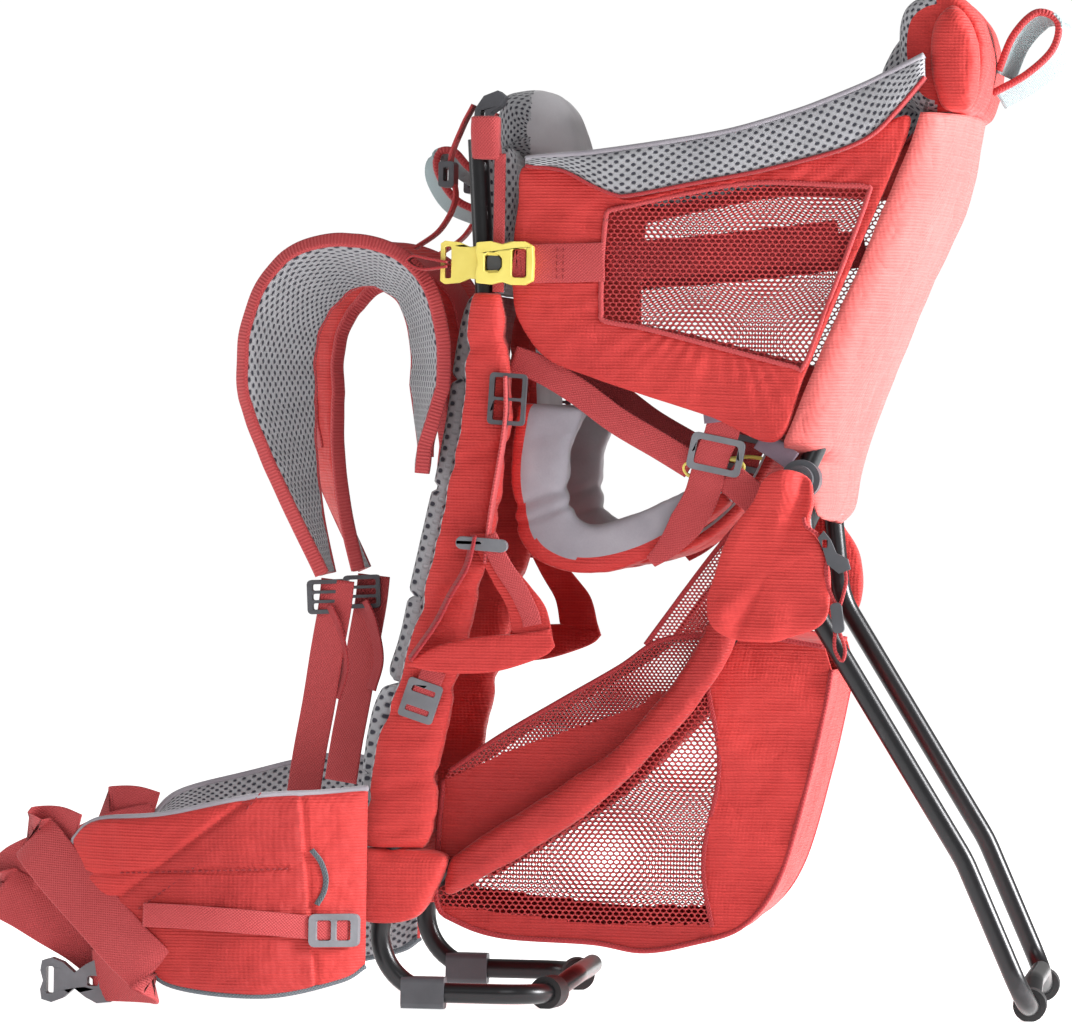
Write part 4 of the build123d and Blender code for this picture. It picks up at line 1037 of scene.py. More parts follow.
# %% Stirrups
for hand, sign in SIDES:
    foot_up = [(-70, 241), (-52, 252), (-30, 258), (-10, 261), (4, 262), (18, 264), (28, 266)]
    foot_low = [(-71, 239), (-52, 235), (-30, 234), (-8, 236), (12, 242), (26, 248), (32, 254)]
    grid = between(side(curve(foot_low, 80), sign * 152), side(curve(foot_up, 80), sign * 152), 26)
    edge = crown(80, 26, 0.3)
    foot = shell(f"stirrup_foot_{hand}", grid, (1.2 + 2.0 * edge) * MM, (1.2 + 2.0 * edge) * MM,
                 [ripstop_red])
    weld(foot)
    place(foot, CARRIER, once("stirrup_loops", sign), "fabric_red", fill=0.6)
    rise_front = [(-28, 331), (-22, 316), (-12, 297), (-2, 280), (2, 262)]
    rise_rear = [(-12, 331), (-1, 312), (14, 295), (25, 280), (31, 256)]
    grid = between(side(curve(rise_front, 60), sign * 149), side(curve(rise_rear, 60), sign * 149), 22)
    grid[..., 0] += sign * waves(grid, 0.05, 120) * 0.002
    riser = shell(f"stirrup_riser_{hand}", grid, np.full((60, 22), 0.0009), np.full((60, 22), 0.0009),
                  [ripstop_red])
    weld(riser)
    place(riser, CARRIER, (), "fabric_red")
    run(f"stirrup_front_{hand}", [(-26, 330), (-31, 308), (-42, 288), (-52, 268), (-69, 243)], sign * 149,
        20, 2.4, ripstop_dark, across=(1.0, 0.25, 0))
    run(f"stirrup_over_{hand}", [(-16, 329), (-6, 310), (6, 292), (14, 276), (16, 268)], sign * 151.5, 13,
        2.0, web_red, across=(0.0, 0.86, 0.5))

# %% [markdown]
# ## Side panels
# Each side of the cockpit is a panel of red cloth with a large window of open net. The cloth is a
# band between two closed lines, the panel's edge and the window's, laid out as one grid. The left
# panel is a door: it swings about its rear edge once the yellow buckle is undone.

# %% Panels and windows
PANEL_X = 129.3             # the middle of the cloth
WINDOW_X = 129.5
WINDOW_PIPING_X = 131.2
NET_PUCKER = 0.4
WING_EDGE = [(2, 585), (-1, 560), (-4, 530), (-4, 500), (1, 478), (20, 453), (52, 440), (86, 429), (135, 414),
             (181, 398), (200, 444), (226, 508), (257, 582), (269, 614), (267, 624), (246, 615), (222, 602),
             (196, 592), (165, 583), (120, 574), (78, 565), (62, 567), (44, 577), (26, 583)]
WINDOW_EDGE = [(60, 548), (58, 518), (58, 486), (61, 479), (90, 474), (140, 462), (190, 450), (199, 450),
               (214, 490), (241, 566), (240, 574), (220, 575), (163, 576), (120, 569), (72, 558), (62, 555)]


def ring_between(outer, inner, count, columns):
    """A closed band of grid between two closed lines, matched by the angle seen from the inner line's
    middle, so that the ribs of the grid stay straight."""
    a, b = curve(outer, 900, True), curve(inner, 900, True)
    middle = b.mean(axis=0)
    angle = np.linspace(-np.pi, np.pi, count, endpoint=False)

    def read(loop):
        seen = np.arctan2(loop[:, 1] - middle[1], loop[:, 0] - middle[0])
        order = np.argsort(seen)
        return np.stack([np.interp(angle, seen[order], loop[order, k], period=TURN) for k in range(2)],
                        axis=1)
    return between(read(a), read(b), columns)


def place_flat(grid, x):
    """A flat side-view grid in millimetres, put at `x` millimetres, in metres."""
    return np.concatenate([np.full((*grid.shape[:2], 1), x), grid], axis=2) * MM


def disc_grid(line, count, rings, shrink=0.02):
    """A closed line filled with rings that shrink towards its middle."""
    loop = curve(line, count, True)
    middle = loop.mean(axis=0)
    share = np.linspace(1, shrink, rings)[None, :, None]
    return middle + (loop[:, None, :] - middle) * share


def net_sheet(name, grid_flat, x, bulge, material, sign, seed=1):
    """A net of one layer: the flat grid bows out by `bulge` mm in its middle. The UV map is the flat
    place of each point, so the holes stay even."""
    loop = grid_flat[:, 0]
    middle = grid_flat.mean(axis=(0, 1))
    far = np.linalg.norm(grid_flat - middle, axis=2)
    share = far / np.maximum(np.linalg.norm(loop - middle, axis=1)[:, None], 1e-6)
    lift = bulge * (1 - np.clip(share, 0, 1) ** 2)
    placed = place_flat(grid_flat, 0)
    lift = lift + waves(placed, 0.06, seed) * NET_PUCKER
    placed[..., 0] = (x + sign * lift) * MM
    rows, columns = grid_flat.shape[:2]
    faces = quads(rows, columns, 0, True)
    centre = placed[:, -1].mean(axis=0)
    fan = [[int(k * columns + columns - 1), rows * columns, int(((k + 1) % rows) * columns + columns - 1)]
           for k in range(rows)]
    points = np.vstack([placed.reshape(-1, 3), centre])
    uv = np.vstack([grid_flat.reshape(-1, 2)[:, ::-1] * MM, centre[[2, 1]]])
    piece = to_object(name, points, [list(f) for f in faces] + fan, uv, [material])
    weld(piece)
    solid = piece.modifiers.new("thickness", "SOLIDIFY")
    solid.thickness, solid.offset = 0.0008, 0.0
    return piece


for hand, sign, body in PANEL_SIDES:
    flat = ring_between(WING_EDGE, WINDOW_EDGE, 420, 34)
    grid = place_flat(flat, sign * PANEL_X)
    share = np.linspace(0, 1, 34)[None, :]
    around = np.linspace(0, 1, 420, endpoint=False)[:, None]
    gathers = np.sin(around * TURN * 46 + 1.5 * np.sin(around * TURN * 7))
    pucker = gathers * np.exp(-((1 - share) / 0.28)) * 0.9
    pucker = pucker + np.sin(around * TURN * 31) * np.exp(-(share / 0.2)) * 0.5
    rumple = waves(grid, 0.05, 51 + sign) * 1.6 * np.sin(np.pi * share) ** 0.5
    lift_out = (1.2 * np.sin(np.pi * share) + rumple + pucker) * MM * 0.9
    body_t = 2.4 * MM * np.clip(np.sin(np.pi * share) * 3 + 0.35, 0, 1) * np.ones_like(around)
    outward = grid_normals(np.concatenate([grid[-1:], grid, grid[:1]]))[1:-1][..., 0].mean()
    facing = 1 if outward * sign > 0 else -1
    front = body_t + (lift_out if facing > 0 else -lift_out * 0.8)
    back = body_t - (lift_out * 0.8 if facing > 0 else -lift_out)
    panel = shell(f"side_panel_{hand}", grid, front, back, [ripstop_red], closed=True)
    weld(panel)
    place(panel, body, [f"wing_panel_{hand}"], "fabric_red", fill=0.3)
    window = net_sheet(f"side_window_{hand}", disc_grid(WINDOW_EDGE, 220, 26), sign * WINDOW_X, 1.2, net_red,
                       sign, seed=55)
    place(window, body, [f"wing_mesh_{hand}"], "window_mesh")
    edge = curve(WINDOW_EDGE, 260, True)
    piping = tape(f"window_piping_{hand}", side(edge, sign * WINDOW_PIPING_X), LEVEL, 0.0052, 0.0034,
                  [web_red], corner=4, closed=True)
    place(piping, body, (), "webbing_red")
print("panels and windows", len(made_pieces))

# %% [markdown]
# The rim above each panel is a stuffed tube of cloth. It is thin at the front, dips at the kink where
# the padding is cut away, and swells towards the headrest.

# %% Rims
RIM_TOP = [(5, 590.5), (25, 593), (48, 595), (89, 601), (130, 608), (156, 614), (191, 625), (212, 633),
           (238, 644), (252, 651), (266, 658), (279, 665)]
RIM_LOW = [(5, 585.5), (30, 582.5), (50, 573), (66, 566.5), (78, 566), (120, 574.5), (165, 583.5), (206, 594),
           (230, 602), (247, 612), (262, 628), (280, 650)]
for hand, sign, body in PANEL_SIDES:
    rim = tube_of_cloth(f"side_rim_{hand}", RIM_TOP, RIM_LOW, sign * 122, sign * 145, [mesh_grey], rows=150,
                        puff=0.5, rumple=1.1, seed=61 + sign, mesh_side=0)
    place(rim, body, [f"wing_rim_{hand}"], "spacer_mesh", fill=0.85)
    for label, line, kind, size in (("top", RIM_TOP, lining_grey, 0.0034),
                                    ("low", RIM_LOW, web_deep, 0.0024)):
        piping = tape(f"rim_piping_{label}_{hand}", side(curve(line, 120), sign * 134), LEVEL, 0.022, size,
                      [kind], corner=4)
        place(piping, body, (), "webbing_red")

# %% [markdown]
# ## Moulded buckles
# A moulded part is drawn flat, cut with its slots, given thickness, and its edges rounded by a
# Bevel modifier. The flat shape is filled by triangulating its outline together with its holes.

# %% Moulded plates


def moulded_plate(name, outline, holes, x_low, x_high, material, bevel=0.6, segments=3):
    """An outline with holes, in side view, made solid from `x_low` to `x_high` millimetres."""
    loops = [outline] + list(holes)
    flat = np.concatenate([np.asarray(loop, float) for loop in loops])
    count = len(flat)
    triangles = tessellate_polygon([[Vector((y, z, 0)) for y, z in loop] for loop in loops])
    faces = [list(t) for t in triangles] + [[i + count for i in t[::-1]] for t in triangles]
    start = 0
    for loop in loops:
        n = len(loop)
        faces += [[start + k, start + (k + 1) % n, start + (k + 1) % n + count,
                   start + k + count] for k in range(n)]
        start += n
    points = np.concatenate([np.column_stack([np.full(count, x_low), flat]),
                             np.column_stack([np.full(count, x_high), flat])]) * MM
    piece = to_object(name, points, faces, None, [material], smooth=False)
    weld(piece)
    edge = piece.modifiers.new("edges", "BEVEL")
    edge.width, edge.segments, edge.limit_method = bevel * MM, segments, "ANGLE"
    edge.angle_limit = math.radians(30)
    piece.data.polygons.foreach_set("use_smooth", np.full(len(piece.data.polygons), True))
    edge.harden_normals = True
    return piece


def turned(points, centre, angle):
    """Points turned about a centre by an angle in degrees, counter-clockwise in the side view."""
    pts = np.asarray(points, float) - centre
    c, s = math.cos(math.radians(angle)), math.sin(math.radians(angle))
    return [(float(y * c - z * s + centre[0]), float(y * s + z * c + centre[1])) for y, z in pts]


def rounded(low_y, low_z, high_y, high_z, corner=1.5, steps=4):
    """A rounded rectangle in the side view."""
    t = np.linspace(0, np.pi / 2, steps)
    made = []
    for k, (cy, cz) in enumerate(((high_y - corner, high_z - corner), (low_y + corner, high_z - corner),
                                  (low_y + corner, low_z + corner), (high_y - corner, low_z + corner))):
        made += [(cy + corner * math.cos(a + k * math.pi / 2), cz + corner * math.sin(a + k * math.pi / 2))
                 for a in t]
    return made


def strap_lock(name, centre, wide, tall, x_low, x_high, material, angle=0, nodes=(), bars=3):
    """A lock that webbing is woven through: a frame with `bars` openings."""
    y, z = centre
    frame_line = rounded(y - wide / 2, z - tall / 2, y + wide / 2, z + tall / 2, 3.0)
    step = (tall - 4) / bars
    holes = [turned(rounded(y - wide / 2 + 3.6, z - tall / 2 + 2 + step * k + 1.1, y + wide / 2 - 3,
                            z - tall / 2 + 2 + step * (k + 1) - 1.1, 1.2), centre,
                            angle) for k in range(bars)]
    piece = moulded_plate(name, turned(frame_line, centre, angle), holes, x_low, x_high, material, 0.8)
    return place(piece, CARRIER, nodes, "plastic_grey")


# %% Locks along the webbing
for hand, sign in SIDES:
    low, high = sorted((sign * 138.6, sign * 145))
    strap_lock(f"stirrup_lock_{hand}", (-5, 424), 26, 36, low, high, nylon_dark, -3,
               nodes=once("stirrup_locks", sign), bars=2)
    bar_low, bar_high = sorted((sign * 146.5, sign * 155))
    bar = moulded_plate(f"stirrup_bar_{hand}", turned(rounded(-38, 319, -2, 328, 4.2), (-20, 324), -4), [],
                        bar_low, bar_high, nylon_grey, 2.6, 4)
    place(bar, CARRIER, (), "plastic_grey")
    low, high = sorted((sign * 123.4, sign * 130.5))
    centre = (139, 388)
    seat_lock = moulded_plate(f"seat_lock_{hand}", turned(rounded(120, 375, 158, 401, 4), centre, -11),
                              [turned(rounded(124.5, 379.5, 153.5, 396.5, 2), centre, -11)], low, high - 1,
                              nylon_grey, 1.1, 4)
    place(seat_lock, CARRIER, once("height_locks", sign), "plastic_grey")
    ring_line = curve([(119, 382), (117, 376), (124, 372), (146, 369), (155, 373), (157, 382), (140, 386)],
                      60, True)
    loop = tape(f"seat_ring_loop_{hand}", side(ring_line, sign * 122.6), LEVEL, 0.0028, 0.0028,
                [nylon_yellow], corner=4, closed=True)
    place(loop, CARRIER, (), "plastic_yellow")
    low, high = sorted((sign * 84, sign * 98))
    strap_lock(f"strap_lock_{hand}", (-136, 284), 27, 24, low + 3, high - 3, nylon_dark, 3,
               nodes=once("strap_locks", sign))
    low, high = sorted((sign * 60, sign * 84))
    lock = moulded_plate(f"lifter_lock_{hand}", [(-39, 618), (-38, 627), (-32, 636), (-22, 640), (-17, 636),
                                                 (-20, 629), (-27, 624), (-30, 612), (-36, 610)],
                         [rounded(-34, 620, -31, 626, 1.0)], low, high, nylon_dark, 1.0)
    place(lock, CARRIER, once("lifter_locks", sign), "plastic_grey")
    slide = moulded_plate(f"lifter_slider_{hand}", rounded(-63, 572, -52, 590, 2),
                          [rounded(-59.5, 576, -56, 586, 1)], low - 1, high + 1, nylon_dark, 0.8)
    place(slide, CARRIER, (), "plastic_grey")
    low, high = sorted((sign * 138.4, sign * 142))
    column_lock = moulded_plate(f"column_lock_{hand}", turned(rounded(-75, 200, -50, 228, 2.5), (-62, 214),
                                                              -18),
                                [turned(rounded(-71, 205, -54, 209, 1), (-62, 214), -18),
                                 turned(rounded(-71, 219, -54, 223, 1), (-62, 214), -18)], low, high,
                                 nylon_grey, 0.7)
    place(column_lock, CARRIER, (), "plastic_grey")
    run(f"column_web_{hand}", [(-53, 236), (-57, 226), (-63, 212), (-67, 202)], sign * 140.2, 17, 1.6,
        web_red, across=(0, 1, 0.3))

# %% [markdown]
# ## The yellow side-release buckle
# The socket is a shell with a waist, a window through which the prongs show, and a bar at its end.
# The plug has two sprung prongs. Both are drawn as flat outlines, and the webbing runs over the bar.

# %% Buckle
SOCKET_LINE = [(-28, 504), (-28.5, 511), (-27, 518), (-28.5, 525), (-28, 532), (-18, 533), (-10, 531),
               (-4, 533),
               (6, 533), (11.5, 530), (12, 518), (11.5, 506), (6, 503), (-4, 503), (-10, 505), (-18, 503)]
SOCKET_HOLES = [rounded(-3, 508, 7, 528, 2.0), [(-22, 513), (-19, 511), (-13, 511.5), (-10, 515), (-10, 521),
                                               (-13, 524.5), (-19, 525), (-22, 523)]]
socket = moulded_plate("buckle_socket_shell", SOCKET_LINE, SOCKET_HOLES, 134.2, 146.3, nylon_yellow, 1.6, 4)
place(socket, PANEL, ["buckle_socket"], "plastic_yellow")
PLUG_LINE = [(-53, 505), (-53, 531), (-50, 533), (-40, 532), (-33, 529), (-27, 529.5), (-14, 529),
             (-12, 527), (-13, 523),
             (-27, 523.5), (-27, 512.5), (-13, 513), (-12, 509), (-14, 507), (-27, 506.5), (-33, 507),
             (-40, 504), (-50, 503)]
plug = moulded_plate("buckle_plug_body", PLUG_LINE, [rounded(-50, 507, -45.5, 529, 1.2)], 135.5, 143.6,
                     nylon_yellow, 1.2)
place(plug, "plug", ["buckle_plug"], "plastic_yellow")
hub = moulded_plate("buckle_slot", [(-21, 514), (-18.5, 512), (-13.5, 512.5), (-11, 515.5), (-11, 520.5),
                                    (-13.5, 523.5),
                                    (-18.5, 524), (-21, 522)], [], 137.0, 141.0, nylon_dark, 0.4, 2)
place(hub, PANEL, (), "plastic_grey")
run("buckle_web_front", [(-48, 518), (-60, 520), (-72, 522), (-76, 518), (-66, 513), (-48, 515)], 139.5, 22,
    1.8, web_deep, body="plug")
run("buckle_web_panel", [(6, 518), (3, 518), (0, 517.5), (-3, 518)], 141.5, 20.1, 1.6, web_red, body=PANEL,
    across=(0, 0, 1))

# %% [markdown]
# A wide strip of webbing crosses each panel from the buckle and is lost behind the net. Two rows of
# box stitches hold it down where it meets the window.

# %% Webbing across the panel
for hand, sign, body in PANEL_SIDES:
    strip = side([(9, 518), (22, 518.5), (40, 519), (60, 520)], sign * 134.4)
    strip = curve(strip, 40)
    piece = tape(f"panel_web_{hand}", strip, (0, 0, 1), 0.027, 0.0018, [web_red], corner=3)
    place(piece, body, (), "webbing_red")
    inside = curve(side([(60, 520), (110, 524), (170, 531), (222, 538)], sign * 127.2), 40)
    piece = tape(f"panel_web_inside_{hand}", inside, (0, 0, 1), 0.027, 0.0016, [web_deep], corner=3)
    place(piece, body, (), "webbing_red")
print("buckles", len(made_pieces))


# %% [markdown]
# ## Sewn lines
# A stitch is a short fat thread that dips into the cloth at both ends. A seam is one small stitch
# repeated along a line, all in one mesh.

# %% Stitches


STITCH_LENGTH, STITCH_GAP, STITCH_THICK = 0.0028, 0.0014, 0.00055


def stitches(name, path, body):
    """Thread laid along a path: each stitch is a six-sided spindle."""
    path = np.asarray(path, float)
    run_ = np.concatenate([[0], np.cumsum(np.linalg.norm(np.diff(path, axis=0), axis=1))])
    count = max(2, int(run_[-1] / (STITCH_LENGTH + STITCH_GAP)))
    at = (np.arange(count) + 0.5) * run_[-1] / count

    def read(s):
        return np.stack([np.interp(s, run_, path[:, k]) for k in range(3)], axis=1)
    centre = read(at)
    ahead = read(np.minimum(at + 1e-4, run_[-1])) - read(np.maximum(at - 1e-4, 0))
    ahead /= np.linalg.norm(ahead, axis=1, keepdims=True)
    out = np.cross(ahead, np.cross(np.array([1.0, 0, 0]), ahead))
    out /= np.maximum(np.linalg.norm(out, axis=1, keepdims=True), 1e-9)
    cross = np.cross(ahead, out)
    t = np.array([-1.0, -0.6, 0.6, 1.0])
    size = np.array([0.25, 1.0, 1.0, 0.25])
    angle = np.linspace(0, TURN, 6, endpoint=False)
    ring = (out[:, None, None, :] * np.cos(angle)[None, None, :, None] +
            cross[:, None, None, :] * np.sin(angle)[None, None, :, None])
    points = (centre[:, None, None, :] + ahead[:, None, None, :] * (t * STITCH_LENGTH / 2)[None, :, None,
                                                                                           None] +
              ring * (size * STITCH_THICK)[None, :, None, None])
    base = np.arange(count)[:, None, None, None] * 24
    i, j = np.meshgrid(np.arange(3), np.arange(6), indexing="ij")
    quad = np.stack([i * 6 + j, i * 6 + (j + 1) % 6, (i + 1) * 6 + (j + 1) % 6, (i + 1) * 6 + j], axis=2)
    faces = (base + quad[None]).reshape(-1, 4)
    ends = np.array([[0, 5, 4, 3, 2, 1], [18, 19, 20, 21, 22, 23]])
    caps = (np.arange(count)[:, None, None] * 24 + ends[None]).reshape(-1, 6)
    piece = to_object(name, points.reshape(-1, 3), [list(f) for f in faces] + [list(c) for c in caps],
                      np.zeros((count * 24, 2)), [thread_deep])
    return place(piece, body, (), "webbing_red")


for hand, sign, body in PANEL_SIDES:
    for number, y in enumerate((27, 31.5)):
        stitches(f"box_stitch_{hand}_{number}", side([(y, 507), (y + 0.3, 530)], sign * 135.5), body)
print("stitches")

# %% [markdown]
# ## Hip fins
# A fin is a plate of foam bent round the hip. In plan it follows an arc; its height at each place
# comes from its side view. The outside is red cloth, the hip side is mesh, and both are quilted.

# %% Hip fins
FIN_PLAN = [(146, -98), (163, -132), (181, -175), (186, -222), (181, -262), (166, -300)]
FIN_TOP = [(-98, 153), (-130, 153), (-172, 152), (-234, 138), (-280, 130), (-297, 116), (-299, 109)]
FIN_LOW = [(-98, 30), (-115, 20), (-163, 10), (-225, 16), (-246, 34), (-272, 66), (-299, 105)]


def fin_top(sign):
    """The right fin stands a little higher than the left one, because its belt is pulled up."""
    return [(y, z + (9 if sign < 0 else -5) * math.sin(math.pi * min(1, (-98 - y) / 190)) ** 0.7) for y,
            z in FIN_TOP]


def fin_grid(sign, rows=150, columns=70):
    """Middle surface of a fin: the plan arc read at each y, and straight up from the lower edge."""
    arc = curve(FIN_PLAN, 400)
    y = np.linspace(-98, -299, rows)
    x = np.interp(-y, -arc[:, 1], arc[:, 0])
    top, low = curve(fin_top(sign), 300), curve(FIN_LOW, 300)
    z_top = np.interp(-y, -top[:, 0], top[:, 1])
    z_low = np.interp(-y, -low[:, 0], low[:, 1])
    a = np.column_stack([sign * x, y, z_low]) * MM
    b = np.column_stack([sign * x, y, z_top]) * MM
    return between(a, b, columns)


def on_fin(sign, points, lift):
    """Side-view points carried onto the outside of a fin, `lift` mm clear of its middle surface."""
    pts = np.asarray(points, float)
    arc = curve(FIN_PLAN, 400)
    x = np.interp(-pts[:, 0], -arc[:, 1], arc[:, 0])
    slope = np.interp(-pts[:, 0], -arc[:, 1], np.gradient(arc[:, 0]) / np.gradient(arc[:, 1]))
    normal = np.stack([np.ones(len(pts)), -slope], axis=1)
    normal /= np.linalg.norm(normal, axis=1, keepdims=True)
    return np.column_stack([sign * (x + normal[:, 0] * lift), pts[:, 0] + normal[:, 1] * lift,
                            pts[:, 1]]) * MM


BELT_FALL = [((165, -299, 112), (0, 0, 1)), ((159, -312, 116), (0, 0.1, 1)),
             ((156, -324, 116), (0, 0.3, 0.95)),
             ((158, -330, 114), (0, 0.45, 0.9)), ((166, -322, 106), (0, 0.7, 0.7)),
             ((176, -303, 86), (0, 0.8, 0.6)),
             ((186, -280, 64), (0, 0.81, 0.59)), ((193, -258, 42), (0, 0.79, 0.61)),
             ((194, -243, 28), (0, 0.55, 0.83)),
             ((190, -239, 20), (0.2, 0.1, 1)), ((181, -248, 18), (0.45, 0, 0.9)),
             ((168, -264, 17.5), (0.45, 0, 0.9)),
             ((157, -279, 17.5), (0.3, 0, 1)), ((151, -287, 17), (0, 0, 1))]
BELT_LOOP = [((163, -297, 104), (0, 0, 1)), ((152, -322, 98), (0, 0.1, 1)), ((144, -344, 88), (0, 0.2, 1)),
             ((140, -354, 80), (0, 0.3, 0.95)), ((146, -352, 74), (0, 0.45, 0.9)),
             ((150, -336, 66), (0, 0.58, 0.81)),
             ((148, -316, 54), (0, 0.62, 0.78)), ((142, -298, 43), (0, 0.6, 0.8)),
             ((137, -284, 32), (0, 0.5, 0.86)), ((136, -274, 24), (0, 0.3, 0.95))]


def hang(name, sign, knots, width, material, body, nodes=()):
    """Loose webbing in space: the path runs through the first points of the knots, and the way its
    width lies runs through the second ones."""
    both = curve([list(at) + [10 * v for v in way] for at, way in knots], 160)
    path, way = both[:, :3] * MM, both[:, 3:]
    path[:, 0] *= sign
    path[:, 2] += 2.0 * MM
    piece = tape(name, path, way, width * MM, 0.0022, [material], corner=4)
    return place(piece, body, nodes, "webbing_red")


for hand, sign in SIDES:
    body = f"fin_{hand}"
    grid = fin_grid(sign)
    y, z = grid[..., 1] / MM, grid[..., 2] / MM
    pocket = np.exp(-((y * 0.62 - z * 0.78 + 222.7) / 2.2) ** 2) * (y < -166)
    level = np.exp(-((z - (96 + (y + 200) * 0.05)) / 1.8) ** 2) * (y < -150)
    root = np.exp(-((y + 137 + (z - 90) * 0.09) / 2.2) ** 2)
    edge = crown(*grid.shape[:2], 0.09)
    outside = (2.2 + 5.0 * edge - 1.6 * np.clip(pocket + level + root, 0, 1) + waves(grid, 0.06,
                                                                                     71) * 1.1 * edge) * MM
    inside = (1.6 + 4.8 * edge - 1.2 * np.exp(-((z - 82) / 3) ** 2)) * MM
    normal = grid_normals(grid)
    facing = np.sign(normal[..., 0].mean() * sign)
    front, back = (outside, inside) if facing > 0 else (inside, outside)
    fin = shell(f"hip_fin_pad_{hand}", grid, front, back,
                [ripstop_red, mesh_grey] if facing > 0 else [mesh_grey, ripstop_red], back_material=1)
    weld(fin)
    fin.data.materials.append(ripstop_mid)
    spots = np.array([face.center for face in fin.data.polygons]) / MM
    which = np.array([face.material_index for face in fin.data.polygons])
    cloth_index = 0 if facing > 0 else 1
    pocket_side = (spots[:, 1] * 0.62 - spots[:, 2] * 0.78 + 222.7 > 0) & (spots[:,
        1] < -137 - (spots[:, 2] - 90) * 0.09)
    which[(which == cloth_index) & pocket_side] = 2
    fin.data.polygons.foreach_set("material_index", which.astype(np.int32))
    place(fin, body, [f"hip_fin_{hand}"], "fabric_red", fill=0.7)
    for label, line, kind in (("low", FIN_LOW, web_slate), ("top", fin_top(sign), lining_grey)):
        binding = tape(f"fin_binding_{label}_{hand}", on_fin(sign, curve(line, 120), 0), (0, 0, 1), 0.0042,
                       0.008, [kind], corner=4)
        place(binding, body, (), "webbing_red")
    arc_line = curve([(-136, 111), (-130, 103), (-126.5, 92), (-127.5, 82), (-132, 73)], 60)
    mark = tape(f"fin_reflex_{hand}", on_fin(sign, arc_line, 8.6), (0, 1, 0.001), 0.004, 0.0014, [web_slate],
                corner=3)
    place(mark, body, (), "webbing_grey")
    hold = moulded_plate(f"fin_lock_{hand}", rounded(-136, 44, -104, 67, 4),
                         [rounded(-131, 48.5, -121.5, 62.5, 1.5),
                         rounded(-118.5, 48.5, -109, 62.5, 1.5)], 0, 3.4, nylon_grey, 0.9)
    corners = np.empty(len(hold.data.vertices) * 3)
    hold.data.vertices.foreach_get("co", corners)
    corners = corners.reshape(-1, 3)
    corners = on_fin(1, corners[:, 1:] / MM, 10.2) + corners[:, :1] * np.array([[1.0, -0.4, 0]])
    corners[:, 0] *= sign
    hold.data.vertices.foreach_set("co", corners.ravel())
    weld(hold)
    place(hold, body, (), "plastic_grey")
    strap_line = curve([(-244, 65), (-212, 64), (-170, 61), (-131, 57), (-112, 56)], 70)
    fin_strap = tape(f"fin_strap_web_{hand}", on_fin(sign, strap_line, 10.4), (0, 0, 1), 0.0165, 0.002,
                     [web_red], corner=3)
    place(fin_strap, body, [f"fin_strap_{hand}"], "webbing_red")
    for number, line in enumerate(([(-168, 151), (-205, 104), (-249, 68)],
                                   [(-150, 98), (-200, 96), (-262, 93)])):
        stitches(f"fin_stitch_{hand}_{number}", on_fin(sign, curve(line, 60), 7.2), body)
    hang(f"belt_fall_{hand}", sign, BELT_FALL, 37, web_red, body, [f"belt_webbing_{hand}"])
    hang(f"belt_loop_{hand}", sign, BELT_LOOP, 37, web_red, body)
    X_LINE = [(-323, 2), (-324, 9), (-322, 15), (-324, 22), (-323, 29), (-316, 31), (-308, 28), (-300, 21),
              (-292, 27),
              (-284, 31), (-274, 30), (-272, 23), (-277, 16), (-272, 9), (-274, 1), (-284, 0), (-292, 4),
              (-300, 10), (-308, 3), (-316, 0)]
    low, high = sorted((sign * 143.3, sign * 154.5))
    clip = moulded_plate(f"hip_buckle_half_{hand}", X_LINE,
                         [rounded(-320, 6, -314.5, 25, 1.5), rounded(-291, 12, -283, 19, 1.5)], low, high,
                         nylon_grey, 1.6, 4)
    place(clip, body, [f"hip_buckle_{hand}"], "plastic_grey")
print("fins", len(made_pieces))

# %% [markdown]
# ## Sleeves, sling and leg rings
# The slanted tubes of the seat are hidden in smooth red sleeves. The child sits in a sling of
# lining, and a padded ring of the same cloth edges each leg opening.

